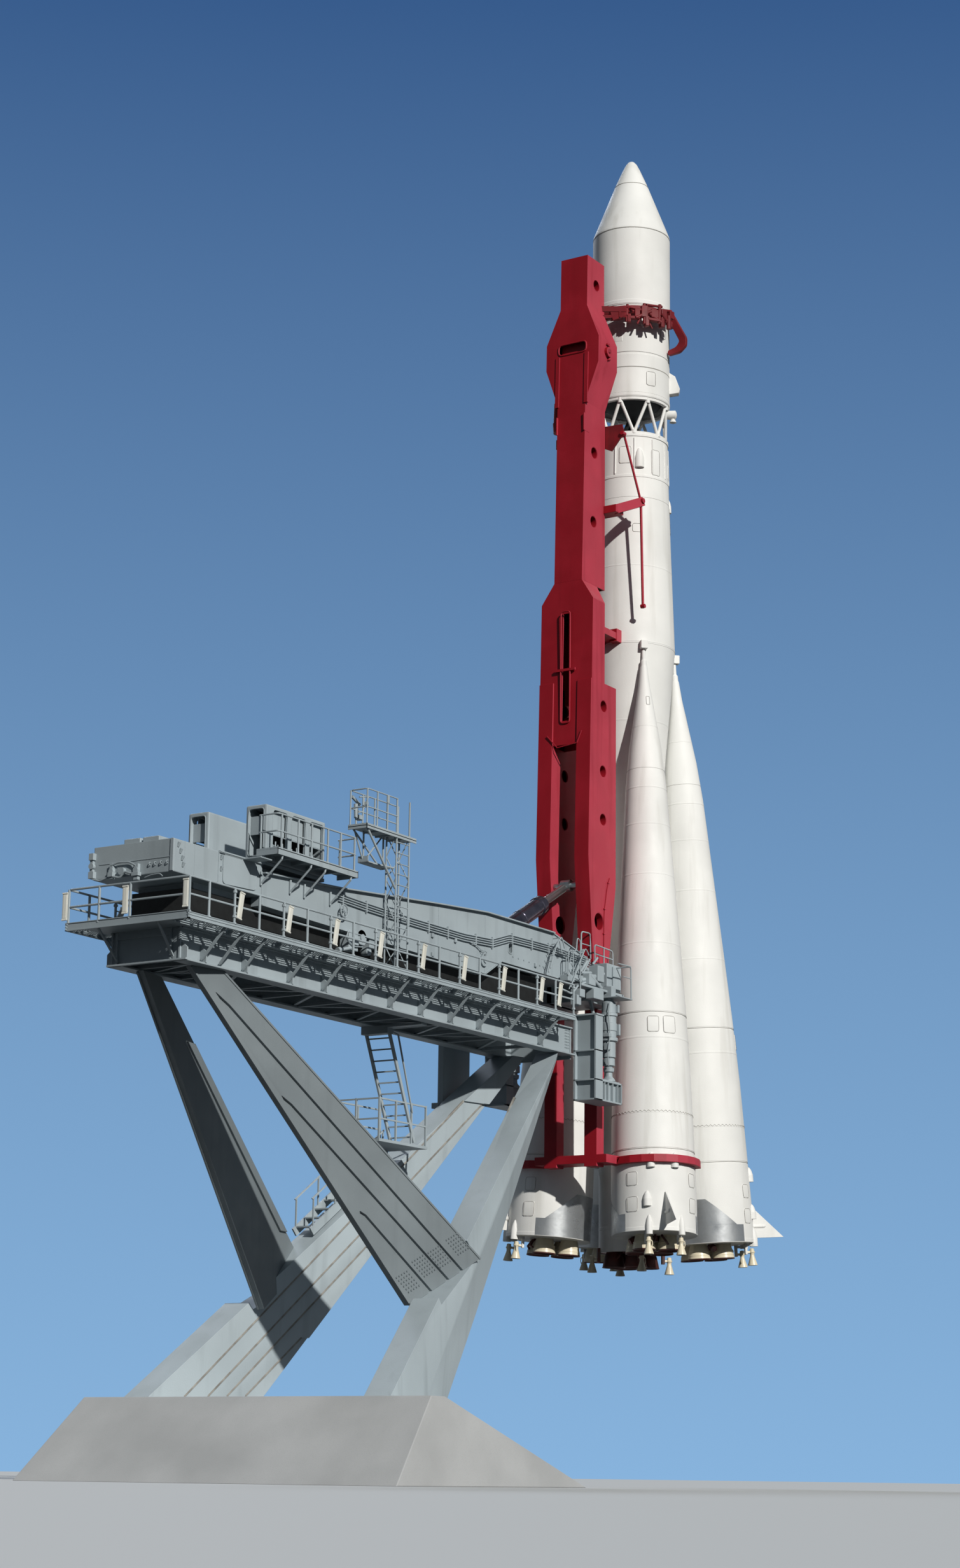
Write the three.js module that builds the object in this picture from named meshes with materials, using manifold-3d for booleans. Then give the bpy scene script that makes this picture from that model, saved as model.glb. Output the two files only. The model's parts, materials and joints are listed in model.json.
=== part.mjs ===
// Space rocket held by its red erector boom on a girder platform, two splayed leg frames and a plinth.
// Lengths are metres on the full-size original. The exported group is scaled to millimetres at 1:2.
// X runs along the platform, away from the rocket. Z is up from the underside of the plinth.

import * as THREE from 'three';
import { mergeVertices } from 'three/addons/utils/BufferGeometryUtils.js';
import Module from 'manifold-3d';

const wasm = await Module();
wasm.setup();

const MODEL_SCALE = 0.5;
const MM_PER_METRE = 1000 * MODEL_SCALE;
// A piece that touches its neighbour keeps 0.3 mm on the model
const GAP = 0.0006;
const LAP = 0.02;
const DEG = Math.PI / 180;
const SIDES = [1, -1];

// Finishes
const paint = (color, roughness, metalness) => new THREE.MeshStandardMaterial({ color, roughness, metalness });
const WHITE = paint('#e9e7e1', 0.45, 0);
const RED = paint('#9c1c2c', 0.5, 0);
const GREY = paint('#868f90', 0.55, 0);
const DARK = paint('#3a2a26', 0.6, 0.4);
const CREAM = paint('#e8dec4', 0.4, 0.1);
const STEEL = paint('#9aa0a2', 0.35, 0.8);
const STONE = paint('#c4c4c0', 0.8, 0);

// Solids

function toSolid(geometry) {
  const bare = geometry.clone();
  bare.deleteAttribute('normal');
  bare.deleteAttribute('uv');
  const merged = mergeVertices(bare, 1e-5);
  const index = Array.from(merged.index.array);
  const corners = merged.attributes.position.array;
  const kept = [];
  let volume = 0;
  for (let i = 0; i < index.length; i += 3) {
    const [a, b, c] = [index[i], index[i + 1], index[i + 2]];
    if (a === b || b === c || a === c) continue;
    kept.push(a, b, c);
    const p = new THREE.Vector3().fromArray(corners, 3 * a);
    const q = new THREE.Vector3().fromArray(corners, 3 * b);
    const r = new THREE.Vector3().fromArray(corners, 3 * c);
    volume += p.dot(q.cross(r));
  }
  if (volume < 0) kept.reverse();
  const mesh = new wasm.Mesh({ numProp: 3, vertProperties: corners, triVerts: new Uint32Array(kept) });
  return new wasm.Manifold(mesh);
}

function toGeometry(solid) {
  const mesh = solid.getMesh();
  const geometry = new THREE.BufferGeometry();
  geometry.setAttribute('position', new THREE.BufferAttribute(mesh.vertProperties, 3));
  geometry.setIndex(new THREE.BufferAttribute(mesh.triVerts, 1));
  geometry.computeVertexNormals();
  return geometry;
}

const join = (solids) => solids.flat(9).reduce((whole, solid) => whole.add(solid));
const cut = (solid, holes) => holes.flat(9).reduce((whole, hole) => whole.subtract(hole), solid);

// A box given by its low and high limits along X, Y and Z
function block(x, y, z) {
  const geometry = new THREE.BoxGeometry(x[1] - x[0], y[1] - y[0], z[1] - z[0]);
  geometry.translate((x[0] + x[1]) / 2, (y[0] + y[1]) / 2, (z[0] + z[1]) / 2);
  return toSolid(geometry);
}

// A body turned about the Z axis: profile is a closed list of [radius, height]
function turned(profile, segments = 24) {
  const points = profile.map(([radius, height]) => new THREE.Vector2(radius, height));
  const closesOnAxis = profile[0][0] === 0 && profile[profile.length - 1][0] === 0;
  if (!closesOnAxis) points.push(points[0].clone());
  const geometry = new THREE.LatheGeometry(points, segments);
  geometry.rotateX(90 * DEG);
  return toSolid(geometry);
}

// A round bar from one point to another
function bar(from, to, radius, sides = 8, endRadius = radius) {
  const a = new THREE.Vector3(...from);
  const b = new THREE.Vector3(...to);
  const along = b.clone().sub(a);
  const geometry = new THREE.CylinderGeometry(endRadius, radius, along.length(), sides);
  const turn = new THREE.Quaternion().setFromUnitVectors(new THREE.Vector3(0, 1, 0), along.clone().normalize());
  geometry.applyQuaternion(turn);
  geometry.translate(...a.add(b).multiplyScalar(0.5).toArray());
  return toSolid(geometry);
}

// A square bar from one point to another, its width measured level and its depth across that
function beam(from, to, width, depth = width) {
  const a = new THREE.Vector3(...from);
  const b = new THREE.Vector3(...to);
  const along = b.clone().sub(a);
  const length = along.length();
  along.normalize();
  const upright = Math.abs(along.z) > 0.99 ? new THREE.Vector3(0, 1, 0) : new THREE.Vector3(0, 0, 1);
  const side = upright.clone().cross(along).normalize();
  const rise = along.clone().cross(side).normalize();
  const geometry = new THREE.BoxGeometry(length, width, depth);
  geometry.applyMatrix4(new THREE.Matrix4().makeBasis(along, side, rise));
  geometry.translate(...a.add(b).multiplyScalar(0.5).toArray());
  return toSolid(geometry);
}

// An outline in the X and Z plane, as thick as y[0] to y[1]
function plate(outline, y) {
  const shape = new THREE.Shape(outline.map(([x, z]) => new THREE.Vector2(x, z)));
  const geometry = new THREE.ExtrudeGeometry(shape, { depth: y[1] - y[0], bevelEnabled: false });
  geometry.rotateX(90 * DEG);
  geometry.translate(0, y[1], 0);
  return toSolid(geometry);
}

// A box body whose section changes with height: rows of [height, front x, rear x, half width]
function tapered(rows) {
  const corners = [];
  for (const [z, front, rear, half] of rows) {
    corners.push([front, -half, z], [rear, -half, z], [rear, half, z], [front, half, z]);
  }
  return quadStack(corners, rows.length);
}

// Closed body through rings of four corners, listed ring by ring
function quadStack(corners, rings) {
  const index = [0, 1, 2, 0, 2, 3];
  for (let ring = 0; ring < rings - 1; ring++) {
    for (let side = 0; side < 4; side++) {
      const a = ring * 4 + side;
      const b = ring * 4 + ((side + 1) % 4);
      index.push(a, a + 4, b, b, a + 4, b + 4);
    }
  }
  const top = (rings - 1) * 4;
  index.push(top, top + 2, top + 1, top, top + 3, top + 2);
  const geometry = new THREE.BufferGeometry();
  geometry.setAttribute('position', new THREE.Float32BufferAttribute(corners.flat(), 3));
  geometry.setIndex(index);
  return toSolid(geometry);
}

// The same span of Y on the near side or, mirrored, on the far one
const bySide = (side, y) => (side > 0 ? y : [-y[1], -y[0]]);
const turnedBy = (solid, azimuth) => solid.rotate([0, 0, azimuth]);
const movedBy = (solid, x, y, z) => solid.translate([x, y, z]);
const polar = (radius, azimuth, z) => [
  radius * Math.cos(azimuth * DEG),
  radius * Math.sin(azimuth * DEG),
  z,
];

const model = new THREE.Group();

function piece(name, finish, solids, parent = model) {
  const mesh = new THREE.Mesh(toGeometry(join([solids])), finish);
  mesh.name = name;
  parent.add(mesh);
  return mesh;
}

// Driving sizes

const PLINTH_CENTRE = 17.73;
const SKIRT = 7.606;
const TURN_SEGMENTS = 24;
const SHELL = 0.035;

const CORE = {
  foot: -0.35,
  waist: 14.6,
  shoulder: 19.7,
  top: 26.95,
  footRadius: 1.03,
  shoulderRadius: 1.465,
  topRadius: 1.235,
};
const STAGE_THREE = { foot: 28.28, top: 31.6, radius: 1.31 };
const FAIRING = { shoulder: 34.477, kink: 36.5, top: 37.44, radius: 1.329, kinkRadius: 0.55 };
const TRUSS = { bottomNode: 33.75, step: 45, tube: 0.055 };
const BOOSTER = { azimuths: [45, 135, 225, 315], baseRadius: 2.734, tipRadius: 1.509, height: 19.098 };
BOOSTER.lean = Math.atan((BOOSTER.baseRadius - BOOSTER.tipRadius) / BOOSTER.height) / DEG;
const NOZZLE = { spacing: 0.4, exitRadius: 0.36, throatRadius: 0.17, length: 0.72 };
const VERNIER = { exitRadius: 0.155, neckRadius: 0.075, below: 0.42, above: 0.12, pin: 0.04 };
const FIN = { root: 0.03, low: 0.18, high: 1.2, reach: 1.08, thickness: 0.06, pivot: 0.55 };

// The rocket stands on its own axis, with heights from the lower edge of the boosters' skirts

const rocket = new THREE.Group();
rocket.position.set(0, 0, SKIRT);
model.add(rocket);

const fairingShape = [
  [FAIRING.radius, STAGE_THREE.top + GAP],
  [FAIRING.radius, FAIRING.shoulder],
  [FAIRING.kinkRadius, FAIRING.kink],
  [0.3, 37.08],
  [0.15, 37.36],
  [0, FAIRING.top],
];
piece('payload_fairing', WHITE, turned([
  [0, FAIRING.top - 0.3],
  [0.4, FAIRING.kink],
  [FAIRING.radius - SHELL, FAIRING.shoulder - 0.1],
  [FAIRING.radius - SHELL, STAGE_THREE.top + GAP],
  ...fairingShape,
], TURN_SEGMENTS), rocket);

piece('third_stage', WHITE, turned([
  [0, STAGE_THREE.top - SHELL],
  [STAGE_THREE.radius - SHELL, STAGE_THREE.top - SHELL],
  [STAGE_THREE.radius - SHELL, STAGE_THREE.foot],
  [STAGE_THREE.radius, STAGE_THREE.foot],
  [STAGE_THREE.radius, STAGE_THREE.top],
  [0, STAGE_THREE.top],
], TURN_SEGMENTS), rocket);

piece('third_stage_engine', DARK, turned([
  [0, 29.1],
  [STAGE_THREE.radius - SHELL - GAP, 29.1],
  [STAGE_THREE.radius - SHELL - GAP, 28.75],
  [0.95, 28.3],
  [0.45, 28.02],
  [0.2, 27.95],
  [0.2, 27.7],
  [0.36, 27.25],
  [0.33, 27.25],
  [0.15, 27.7],
  [0, 27.75],
], TURN_SEGMENTS), rocket);

// Open truss of slanting tubes between two rings
const trussRings = [
  [CORE.top + GAP, CORE.topRadius],
  [STAGE_THREE.foot - GAP - 0.1, STAGE_THREE.radius - 0.02],
];
const trussTubes = [];
for (let i = 0; i < 8; i++) {
  const low = polar(CORE.topRadius - 0.07, TRUSS.bottomNode + i * TRUSS.step, CORE.top + 0.06);
  for (const side of [-0.5, 0.5]) {
    const top = TRUSS.bottomNode + (i + side) * TRUSS.step;
    trussTubes.push(bar(low, polar(STAGE_THREE.radius - 0.09, top, STAGE_THREE.foot - 0.06), TRUSS.tube, 6));
  }
}
piece('interstage_truss', WHITE, [
  ...trussRings.map(([z, radius]) => turned([
    [radius, z],
    [radius, z + 0.1],
    [radius - 0.14, z + 0.1],
    [radius - 0.14, z],
  ], TURN_SEGMENTS)),
  trussTubes,
], rocket);

// Boosters: [height, radius] along the booster's own leaning axis
const boosterOutline = [
  [0, 1.34],
  [1.2, 1.34],
  [5.2, 1.233],
  [9.4, 1.0],
  [14.6, 0.665],
  [18.1, 0.19],
  [18.75, 0.12],
];
const radiusAt = (height) => {
  const i = boosterOutline.findIndex(([z]) => z > height);
  const [z0, r0] = boosterOutline[i - 1];
  const [z1, r1] = boosterOutline[i];
  return r0 + ((r1 - r0) * (height - z0)) / (z1 - z0);
};
// Sets a solid made on a booster's own axis in its place on the rocket
const onBooster = (solid, azimuth) => solid
  .rotate([0, -BOOSTER.lean, 0])
  .translate([BOOSTER.baseRadius, 0, 0])
  .rotate([0, 0, azimuth]);
const boosterEnvelope = turned([
  [0, -0.5],
  [1.34 + GAP, -0.5],
  ...boosterOutline.map(([z, radius]) => [radius + GAP, z]),
  [0, 18.75],
], TURN_SEGMENTS);

// Core stage, a shell open at its foot, with the seats for the boosters' tips and lower struts
const coreOuter = [
  [CORE.footRadius, CORE.foot],
  [CORE.footRadius, CORE.waist],
  [CORE.shoulderRadius, CORE.shoulder],
  [CORE.topRadius, CORE.top],
  [0, CORE.top],
];
const coreEnvelope = turned([
  [0, CORE.foot],
  ...coreOuter.slice(0, -1).map(([radius, z]) => [radius + GAP, z]),
  [0, CORE.top],
], TURN_SEGMENTS);
const coreShell = turned([
  [0, CORE.top - SHELL],
  [CORE.topRadius - SHELL, CORE.top - SHELL],
  [CORE.shoulderRadius - SHELL, CORE.shoulder],
  [CORE.footRadius - SHELL, CORE.waist],
  [CORE.footRadius - SHELL, CORE.foot],
  ...coreOuter,
], TURN_SEGMENTS);
const TIP_SEAT = 19.33;
const TIP_RADIUS = 0.06;
const coreSeats = BOOSTER.azimuths.flatMap((azimuth) => [
  turnedBy(block([1.38, 1.66], [-0.12, 0.12], [TIP_SEAT, 19.62]), azimuth),
  SIDES.map((side) => turnedBy(
    block([0.88, 1.5], bySide(side, [0.38, 0.5]), [2.35, 2.55]),
    azimuth,
  ).subtract(onBooster(boosterEnvelope, azimuth))),
]);
const bracketSlots = BOOSTER.azimuths.map((azimuth) => turnedBy(
  block([0.9, 1.2], [-0.09, 0.09], [-0.5, -0.15]),
  azimuth,
));
piece('core_stage', WHITE, [cut(coreShell, bracketSlots), coreSeats], rocket);

// Four thrust chambers hanging from a round bulkhead
function chambers(bulkheadRadius, bulkheadZ, exitZ) {
  const solids = [turned([
    [0, bulkheadZ],
    [bulkheadRadius, bulkheadZ],
    [bulkheadRadius, bulkheadZ + 0.12],
    [0, bulkheadZ + 0.12],
  ], TURN_SEGMENTS)];
  for (const x of SIDES) {
    for (const y of SIDES) {
      const bell = turned([
        [0, bulkheadZ + 0.05],
        [NOZZLE.throatRadius, bulkheadZ + 0.05],
        [NOZZLE.exitRadius * 0.86, exitZ + NOZZLE.length * 0.3],
        [NOZZLE.exitRadius, exitZ],
        [NOZZLE.exitRadius - 0.03, exitZ],
        [0, exitZ + NOZZLE.length * 0.6],
      ], 10);
      solids.push(movedBy(bell, x * NOZZLE.spacing, y * NOZZLE.spacing, 0));
    }
  }
  return join(solids);
}

// A steering chamber with its pin along +X, its pivot at the origin
function steeringChamber() {
  return join([
    turned([
      [0, VERNIER.above],
      [VERNIER.neckRadius, VERNIER.above],
      [VERNIER.neckRadius, -0.06],
      [VERNIER.exitRadius, -VERNIER.below],
      [VERNIER.exitRadius - 0.025, -VERNIER.below],
      [0, -0.12],
    ], 10),
    bar([0, 0, 0], [-0.16, 0, 0], VERNIER.pin, 6),
  ]);
}

// Brackets under the core's foot carry the pins of its four steering chambers
const coreBrackets = BOOSTER.azimuths.map((azimuth) => turnedBy(join([
  block([1.02, 1.12 - GAP], [-0.08, 0.08], [-0.66, -0.2]),
  block([0.7, 1.1], [-0.08, 0.08], [CORE.foot + 0.03, CORE.foot + 0.11]),
]), azimuth));
piece('core_engine', DARK, [
  chambers(CORE.footRadius - SHELL - GAP, CORE.foot + 0.02, -0.87),
  coreBrackets,
], rocket);

const CORE_VERNIER = { radius: 1.28, pivot: -0.56 };
for (let i = 0; i < 4; i++) {
  const holder = new THREE.Group();
  holder.rotation.z = BOOSTER.azimuths[i] * DEG;
  rocket.add(holder);
  const vernier = piece(`core_vernier_${i + 1}`, CREAM, steeringChamber(), holder);
  vernier.position.set(CORE_VERNIER.radius, 0, CORE_VERNIER.pivot);
}

const vernierSeat = { out: 1.14, across: 0.52, pivot: -0.3 };

function boosterBody() {
  const outer = boosterOutline.map(([z, radius]) => [radius, z]);
  const inner = [0, 1, 3, 4].map((row) => [boosterOutline[row][1] - SHELL, boosterOutline[row][0]]).reverse();
  const shell = turned([[0, 15.5], ...inner, ...outer, [0, 18.75]], TURN_SEGMENTS);
  const lean = BOOSTER.lean * DEG;
  const tipLength = (TIP_SEAT - GAP - TIP_RADIUS * Math.sin(lean)) / Math.cos(lean);
  const tip = bar([0, 0, 18.6], [0, 0, tipLength], TIP_RADIUS, 6);
  const finBoss = bar([1.2, 0, FIN.pivot], [1.34 + FIN.root - GAP, 0, FIN.pivot], 0.09);
  const pods = SIDES.flatMap((side) => [
    turned([[0, 0.42], [0.12, 0.1], [0.12, -0.1], [0, -0.1]], 8)
      .translate([vernierSeat.out + 0.08, side * vernierSeat.across, 0]),
    block(
      [vernierSeat.out - 0.24, vernierSeat.out - 0.16 - GAP],
      [side * vernierSeat.across - 0.08, side * vernierSeat.across + 0.08],
      [vernierSeat.pivot - 0.08, 0],
    ),
    block(
      [vernierSeat.out - 0.24, vernierSeat.out + 0.12],
      [side * vernierSeat.across - 0.08, side * vernierSeat.across + 0.08],
      [-0.1, 0],
    ),
  ]);
  return join([shell, tip, finBoss, pods]);
}

// The bulkhead leaves room for the two pods above the steering chambers
function boosterEngine() {
  const notches = SIDES.map((side) => block(
    [vernierSeat.out - 0.08, 1.4],
    [side * vernierSeat.across - 0.15, side * vernierSeat.across + 0.15],
    [0, 0.2],
  ));
  return cut(chambers(1.34 - SHELL - GAP, 0.02, -0.62), notches);
}

function deltaFin() {
  const root = 1.34 + FIN.root;
  const blade = plate([
    [root, FIN.low],
    [1.34 + FIN.reach, FIN.low],
    [root, FIN.high],
  ], [-FIN.thickness / 2, FIN.thickness / 2]);
  return join([blade, bar([root, 0, FIN.pivot], [root + 0.35, 0, FIN.pivot], 0.07)]);
}

BOOSTER.azimuths.forEach((azimuth, i) => {
  const radial = new THREE.Group();
  radial.rotation.z = azimuth * DEG;
  rocket.add(radial);
  const holder = new THREE.Group();
  holder.position.set(BOOSTER.baseRadius, 0, 0);
  holder.rotation.y = -BOOSTER.lean * DEG;
  radial.add(holder);
  const name = `booster_${i + 1}`;
  piece(`${name}_body`, WHITE, boosterBody(), holder);
  piece(`${name}_engine`, DARK, boosterEngine(), holder);
  piece(`${name}_fin`, WHITE, deltaFin(), holder);
  SIDES.forEach((side, j) => {
    const vernier = piece(`${name}_vernier_${j + 1}`, CREAM, steeringChamber(), holder);
    vernier.position.set(vernierSeat.out, side * vernierSeat.across, vernierSeat.pivot);
  });
});

// Erector boom, red

const MAST_WALL = 0.05;
const mastRows = [
  [28.6, 2.7, 4.18, 0.52],
  [34.8, 2.73, 4.03, 0.53],
  [36.1, 2.75, 3.99, 1.0],
  [37.0, 2.75, 3.97, 1.0],
  [38.2, 2.77, 3.91, 0.51],
  [40.0, 2.78, 3.88, 0.51],
];
const inset = (rows, wall) => rows.map(([z, front, rear, half]) => [z, front + wall, rear - wall, half - wall]);
const mastInside = inset(mastRows, MAST_WALL);
mastInside[0][0] -= LAP;
mastInside[mastInside.length - 1][0] -= MAST_WALL;
const sideHole = (x, z, radius) => bar([x, -2, z], [x, 2, z], radius, 12);
const mastEnvelope = tapered(inset(mastRows, -GAP));
const HEAD_SLOT = { half: 0.52, z: [36.6, 36.88] };
const headDress = SIDES.map((side) => [
  bar([3.43, side * 0.97, 36.58], [3.43, side * 1.1, 36.58], 0.17, 12),
  beam([4.02, side * 0.55, 34.72], [3.97, side * 0.55, 36.5], 0.09, 0.14),
  block([3.78, 4.12], bySide(side, [0.5, 0.82]), [33.75, 34.35]),
]);
piece('boom_mast', RED, cut(join([tapered(mastRows), headDress]), [
  tapered(mastInside),
  block([3.8, 4.2], [-HEAD_SLOT.half, HEAD_SLOT.half], HEAD_SLOT.z),
  [[3.3, 39.1], [3.42, 33.15], [3.45, 30.76]].map(([x, z]) => sideHole(x, z, 0.17)),
]));

const LOWER = { top: 28.6 - GAP, shoulder: 27.9, step: 25.2, crotch: 23.1, foot: 15.6, half: 0.97 };
const lowerBack = tapered([
  [LOWER.crotch, 3.46, 4.32, LOWER.half],
  [LOWER.shoulder, 3.46, 4.22, LOWER.half],
  [LOWER.top, 3.2, 4.18, 0.52],
]);
const lowerBackInside = tapered([
  [LOWER.crotch - LAP, 3.51, 4.27, LOWER.half - MAST_WALL],
  [LOWER.shoulder, 3.51, 4.17, LOWER.half - MAST_WALL],
  [LOWER.top - MAST_WALL, 3.25, 4.13, 0.47],
]);
const cheekOutline = [
  [2.72, LOWER.step],
  [2.72, 18.6],
  [3.25, LOWER.foot],
  [4.1, LOWER.foot],
  [4.46, 19.4],
  [4.32, LOWER.step],
];
const cheeks = SIDES.map((side) => plate(cheekOutline, bySide(side, [0.45, LOWER.half])));
const cheekInsideOutline = [
  [2.77, LOWER.step - 0.05],
  [2.77, 18.6],
  [3.3, LOWER.foot - LAP],
  [4.05, LOWER.foot - LAP],
  [4.41, 19.4],
  [4.27, LOWER.step - 0.05],
];
const cheekInsides = SIDES.map((side) => plate(cheekInsideOutline, bySide(side, [0.5, 0.92])));
piece('boom_lower', RED, cut(join([lowerBack, cheeks]), [
  lowerBackInside,
  cheekInsides,
  block([4, 4.6], [-0.14, 0.14], [23.9, 27.5]),
  [[3.52, 24.43, 0.17], [3.55, 22.27, 0.17], [3.54, 20.69, 0.17], [3.78, 17.35, 0.26]]
    .map(([x, z, radius]) => sideHole(x, z, radius)),
]));

// Collar round the head of the third stage, carried by two beams from the boom's head
const COLLAR = { z: 38.8, inner: STAGE_THREE.radius + GAP, outer: 1.47, height: 0.3 };
const collarRing = cut(turned([
  [COLLAR.inner, COLLAR.z],
  [COLLAR.outer, COLLAR.z],
  [COLLAR.outer, COLLAR.z + COLLAR.height],
  [COLLAR.inner, COLLAR.z + COLLAR.height],
], TURN_SEGMENTS), [block([-2, -0.75], [-2, 2], [38, 40])]);
const stageSleeve = turned([
  [0, 37],
  [COLLAR.inner, 37],
  [COLLAR.inner, 39.3],
  [0, 39.3],
], TURN_SEGMENTS);
// A square tube bent out round each side of the stage, from the ring down to a lower pad
const HOOP = { x: -0.2, width: 0.12, places: [[1.38, 39.0], [1.95, 38.36], [1.95, 38.06], [1.3, 37.68]] };
const collarHoop = (side) => HOOP.places.slice(1).map(([y, z], i) => beam(
  [HOOP.x, side * HOOP.places[i][0], HOOP.places[i][1]],
  [HOOP.x, side * y, z],
  HOOP.width,
));
const collarBeam = (side) => [
  beam([2.9, side * 0.44, 38.15], [1.24, side * 0.74, 38.74], 0.1, 0.42),
  block([1.38, 1.85], bySide(side, [0.55, 0.98]), [COLLAR.z - 0.22, COLLAR.z + COLLAR.height + 0.08]),
  block([1.5, 1.75], bySide(side, [0.65, 0.88]), [COLLAR.z, COLLAR.z + 0.55]),
];
piece('fairing_collar', RED, cut(join([
  collarRing,
  block([1.9, 2.05], [-0.7, 0.7], [38.35, 38.6]),
  SIDES.map((side) => [collarBeam(side), collarHoop(side)]),
]), [mastEnvelope, stageSleeve]));

// Arms that reach past the core to the tips of the two boosters beside the boom
const TIP_ARM = { z: 31.35, lug: [1.7, 1.32, 31.85], rodFoot: 28.18 };
const tipArm = (side) => {
  const lug = [TIP_ARM.lug[0], side * TIP_ARM.lug[1], TIP_ARM.lug[2]];
  return [
    beam([2.68, side * 0.9, TIP_ARM.z], [lug[0] - 0.08, lug[1], lug[2]], 0.22, 0.32),
    bar(lug, [1.56, lug[1], TIP_ARM.rodFoot], 0.045, 6),
    beam([2.3, side * 0.93, 34.1], [lug[0] + 0.02, lug[1], lug[2]], 0.09),
    plate([[2.2, 33.6], [2.7, 33.4], [2.7, 34.6], [2.2, 34.5]], bySide(side, [0.8, 1.0])),
  ];
};
piece('tip_arms', RED, cut(join([
  SIDES.map((side) => tipArm(side)),
  block([2.3, 2.8], [-1, 1], [TIP_ARM.z - 0.12, TIP_ARM.z + 0.14]),
  block([2.5, 2.8], [-1, 1], [33.6, 33.9]),
]), [mastEnvelope]));

// Short arms with pads against the core
const PAD_ARM = { z: 27.22, half: 0.4 };
piece('core_pad_arm', RED, cut(join([
  block([1.3, 3.5], [-PAD_ARM.half, PAD_ARM.half], [PAD_ARM.z, PAD_ARM.z + 0.22]),
  block([3.1, 3.5], [-0.6, 0.6], [PAD_ARM.z - 0.2, PAD_ARM.z + 0.35]),
  SIDES.map((side) => block([1.4, 1.72], bySide(side, [0.14, 0.42]), [PAD_ARM.z - 0.06, PAD_ARM.z + 0.36])),
]), [movedBy(lowerBack, -GAP, 0, 0), movedBy(coreEnvelope, 0, 0, SKIRT)]));

// Lower frame that hugs the two boosters beside the boom at their tail rings
const HUG = { low: 2.1, high: 2.34, thickness: 0.18 };
const hugRing = (side) => {
  const [low, high] = [radiusAt(HUG.low) + GAP, radiusAt(HUG.high) + GAP];
  const ring = turned([
    [low, HUG.low],
    [low + HUG.thickness, HUG.low],
    [high + HUG.thickness, HUG.high],
    [high, HUG.high],
  ], TURN_SEGMENTS);
  return onBooster(ring, side * 45)
    .translate([0, 0, SKIRT])
    .intersect(block([1.1, 5], bySide(side, [1.1, 5]), [0, 30]));
};
const hugBeam = SKIRT + HUG.low + 0.05;
const nearBoosters = SIDES.map((side) => onBooster(boosterEnvelope, side * 45).translate([0, 0, SKIRT]));
piece('lower_frame', RED, cut(join([
  SIDES.map((side) => hugRing(side)),
  block([2.95, 3.85], [-1.3, 1.3], [hugBeam, hugBeam + 0.26]),
  SIDES.map((side) => block([3.4, 3.85], bySide(side, [0.5, 0.95]), [hugBeam - 0.1, 14.55 - GAP])),
]), nearBoosters));

// Lifting cylinder between the transporter and the boom
const LIFT = { foot: [9.2, 0, 15.75], gland: [5.66, 0, 17.69], eye: [4.12, 0, 18.54], radius: 0.3, rod: 0.13 };
const liftLength = Math.hypot(LIFT.gland[0] - LIFT.foot[0], LIFT.gland[2] - LIFT.foot[2]);
const rodStart = LIFT.gland.map((place, i) => place + (GAP * (place - LIFT.foot[i])) / liftLength);
piece('lift_cylinder', STEEL, [bar(LIFT.foot, LIFT.gland, LIFT.radius, 12)]);
piece('lift_rod', STEEL, [
  bar(rodStart, LIFT.eye, LIFT.rod, 10),
  bar([4.15, -0.45 + GAP, 18.52], [4.15, 0.45 - GAP, 18.52], 0.1, 8),
]);

// Transporter, grey

const FRAME_Y = { inner: 0.95, outer: 1.3 };
const sideFrame = [
  [22.0, 14.75],
  [22.0, 15.6],
  [18.45, 15.81],
  [13.52, 16.21],
  [11.02, 16.39],
  [7.18, 16.4],
  [5.2, 15.95],
  [5.2, 15.05],
  [10.1, 15.08],
  [10.98, 14.58],
];
piece('transporter_frame', GREY, [
  plate(sideFrame, [FRAME_Y.inner, FRAME_Y.outer]),
  plate(sideFrame, [-FRAME_Y.outer, -FRAME_Y.inner]),
  block([11, 21.9], [-1, 1], [14.8, 15.0]),
  block([5.3, 11.2], [-1, 1], [15.1, 15.25]),
  SIDES.map((side) => block([8.8, 9.5], bySide(side, [LIFT.radius + GAP, 0.42]), [15.2, 16.05])),
]);
const DECK = { x: [6.94, 25.94], half: 2.0, top: 13.84, under: 13.7 };
piece('running_gear', DARK, [
  block([10.8, 24.6], [-0.94, 0.94], [DECK.top + GAP, 14.8 - GAP]),
  block([7.2, 10.9], [-0.92, 0.92], [DECK.top + GAP, 15.0]),
]);

piece('rear_box', GREY, [
  block([22.0 + GAP, 25.75], [-1.3, 1.3], [14.98, 15.84]),
  block([22.6, 24.4], [-0.9, 0.9], [14.8, 15.0]),
  [[-0.45, 0.08], [0.16, 0.69]].map((y) => block([25.1, 25.6], y, [15.82, 16.0])),
]);

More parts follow.
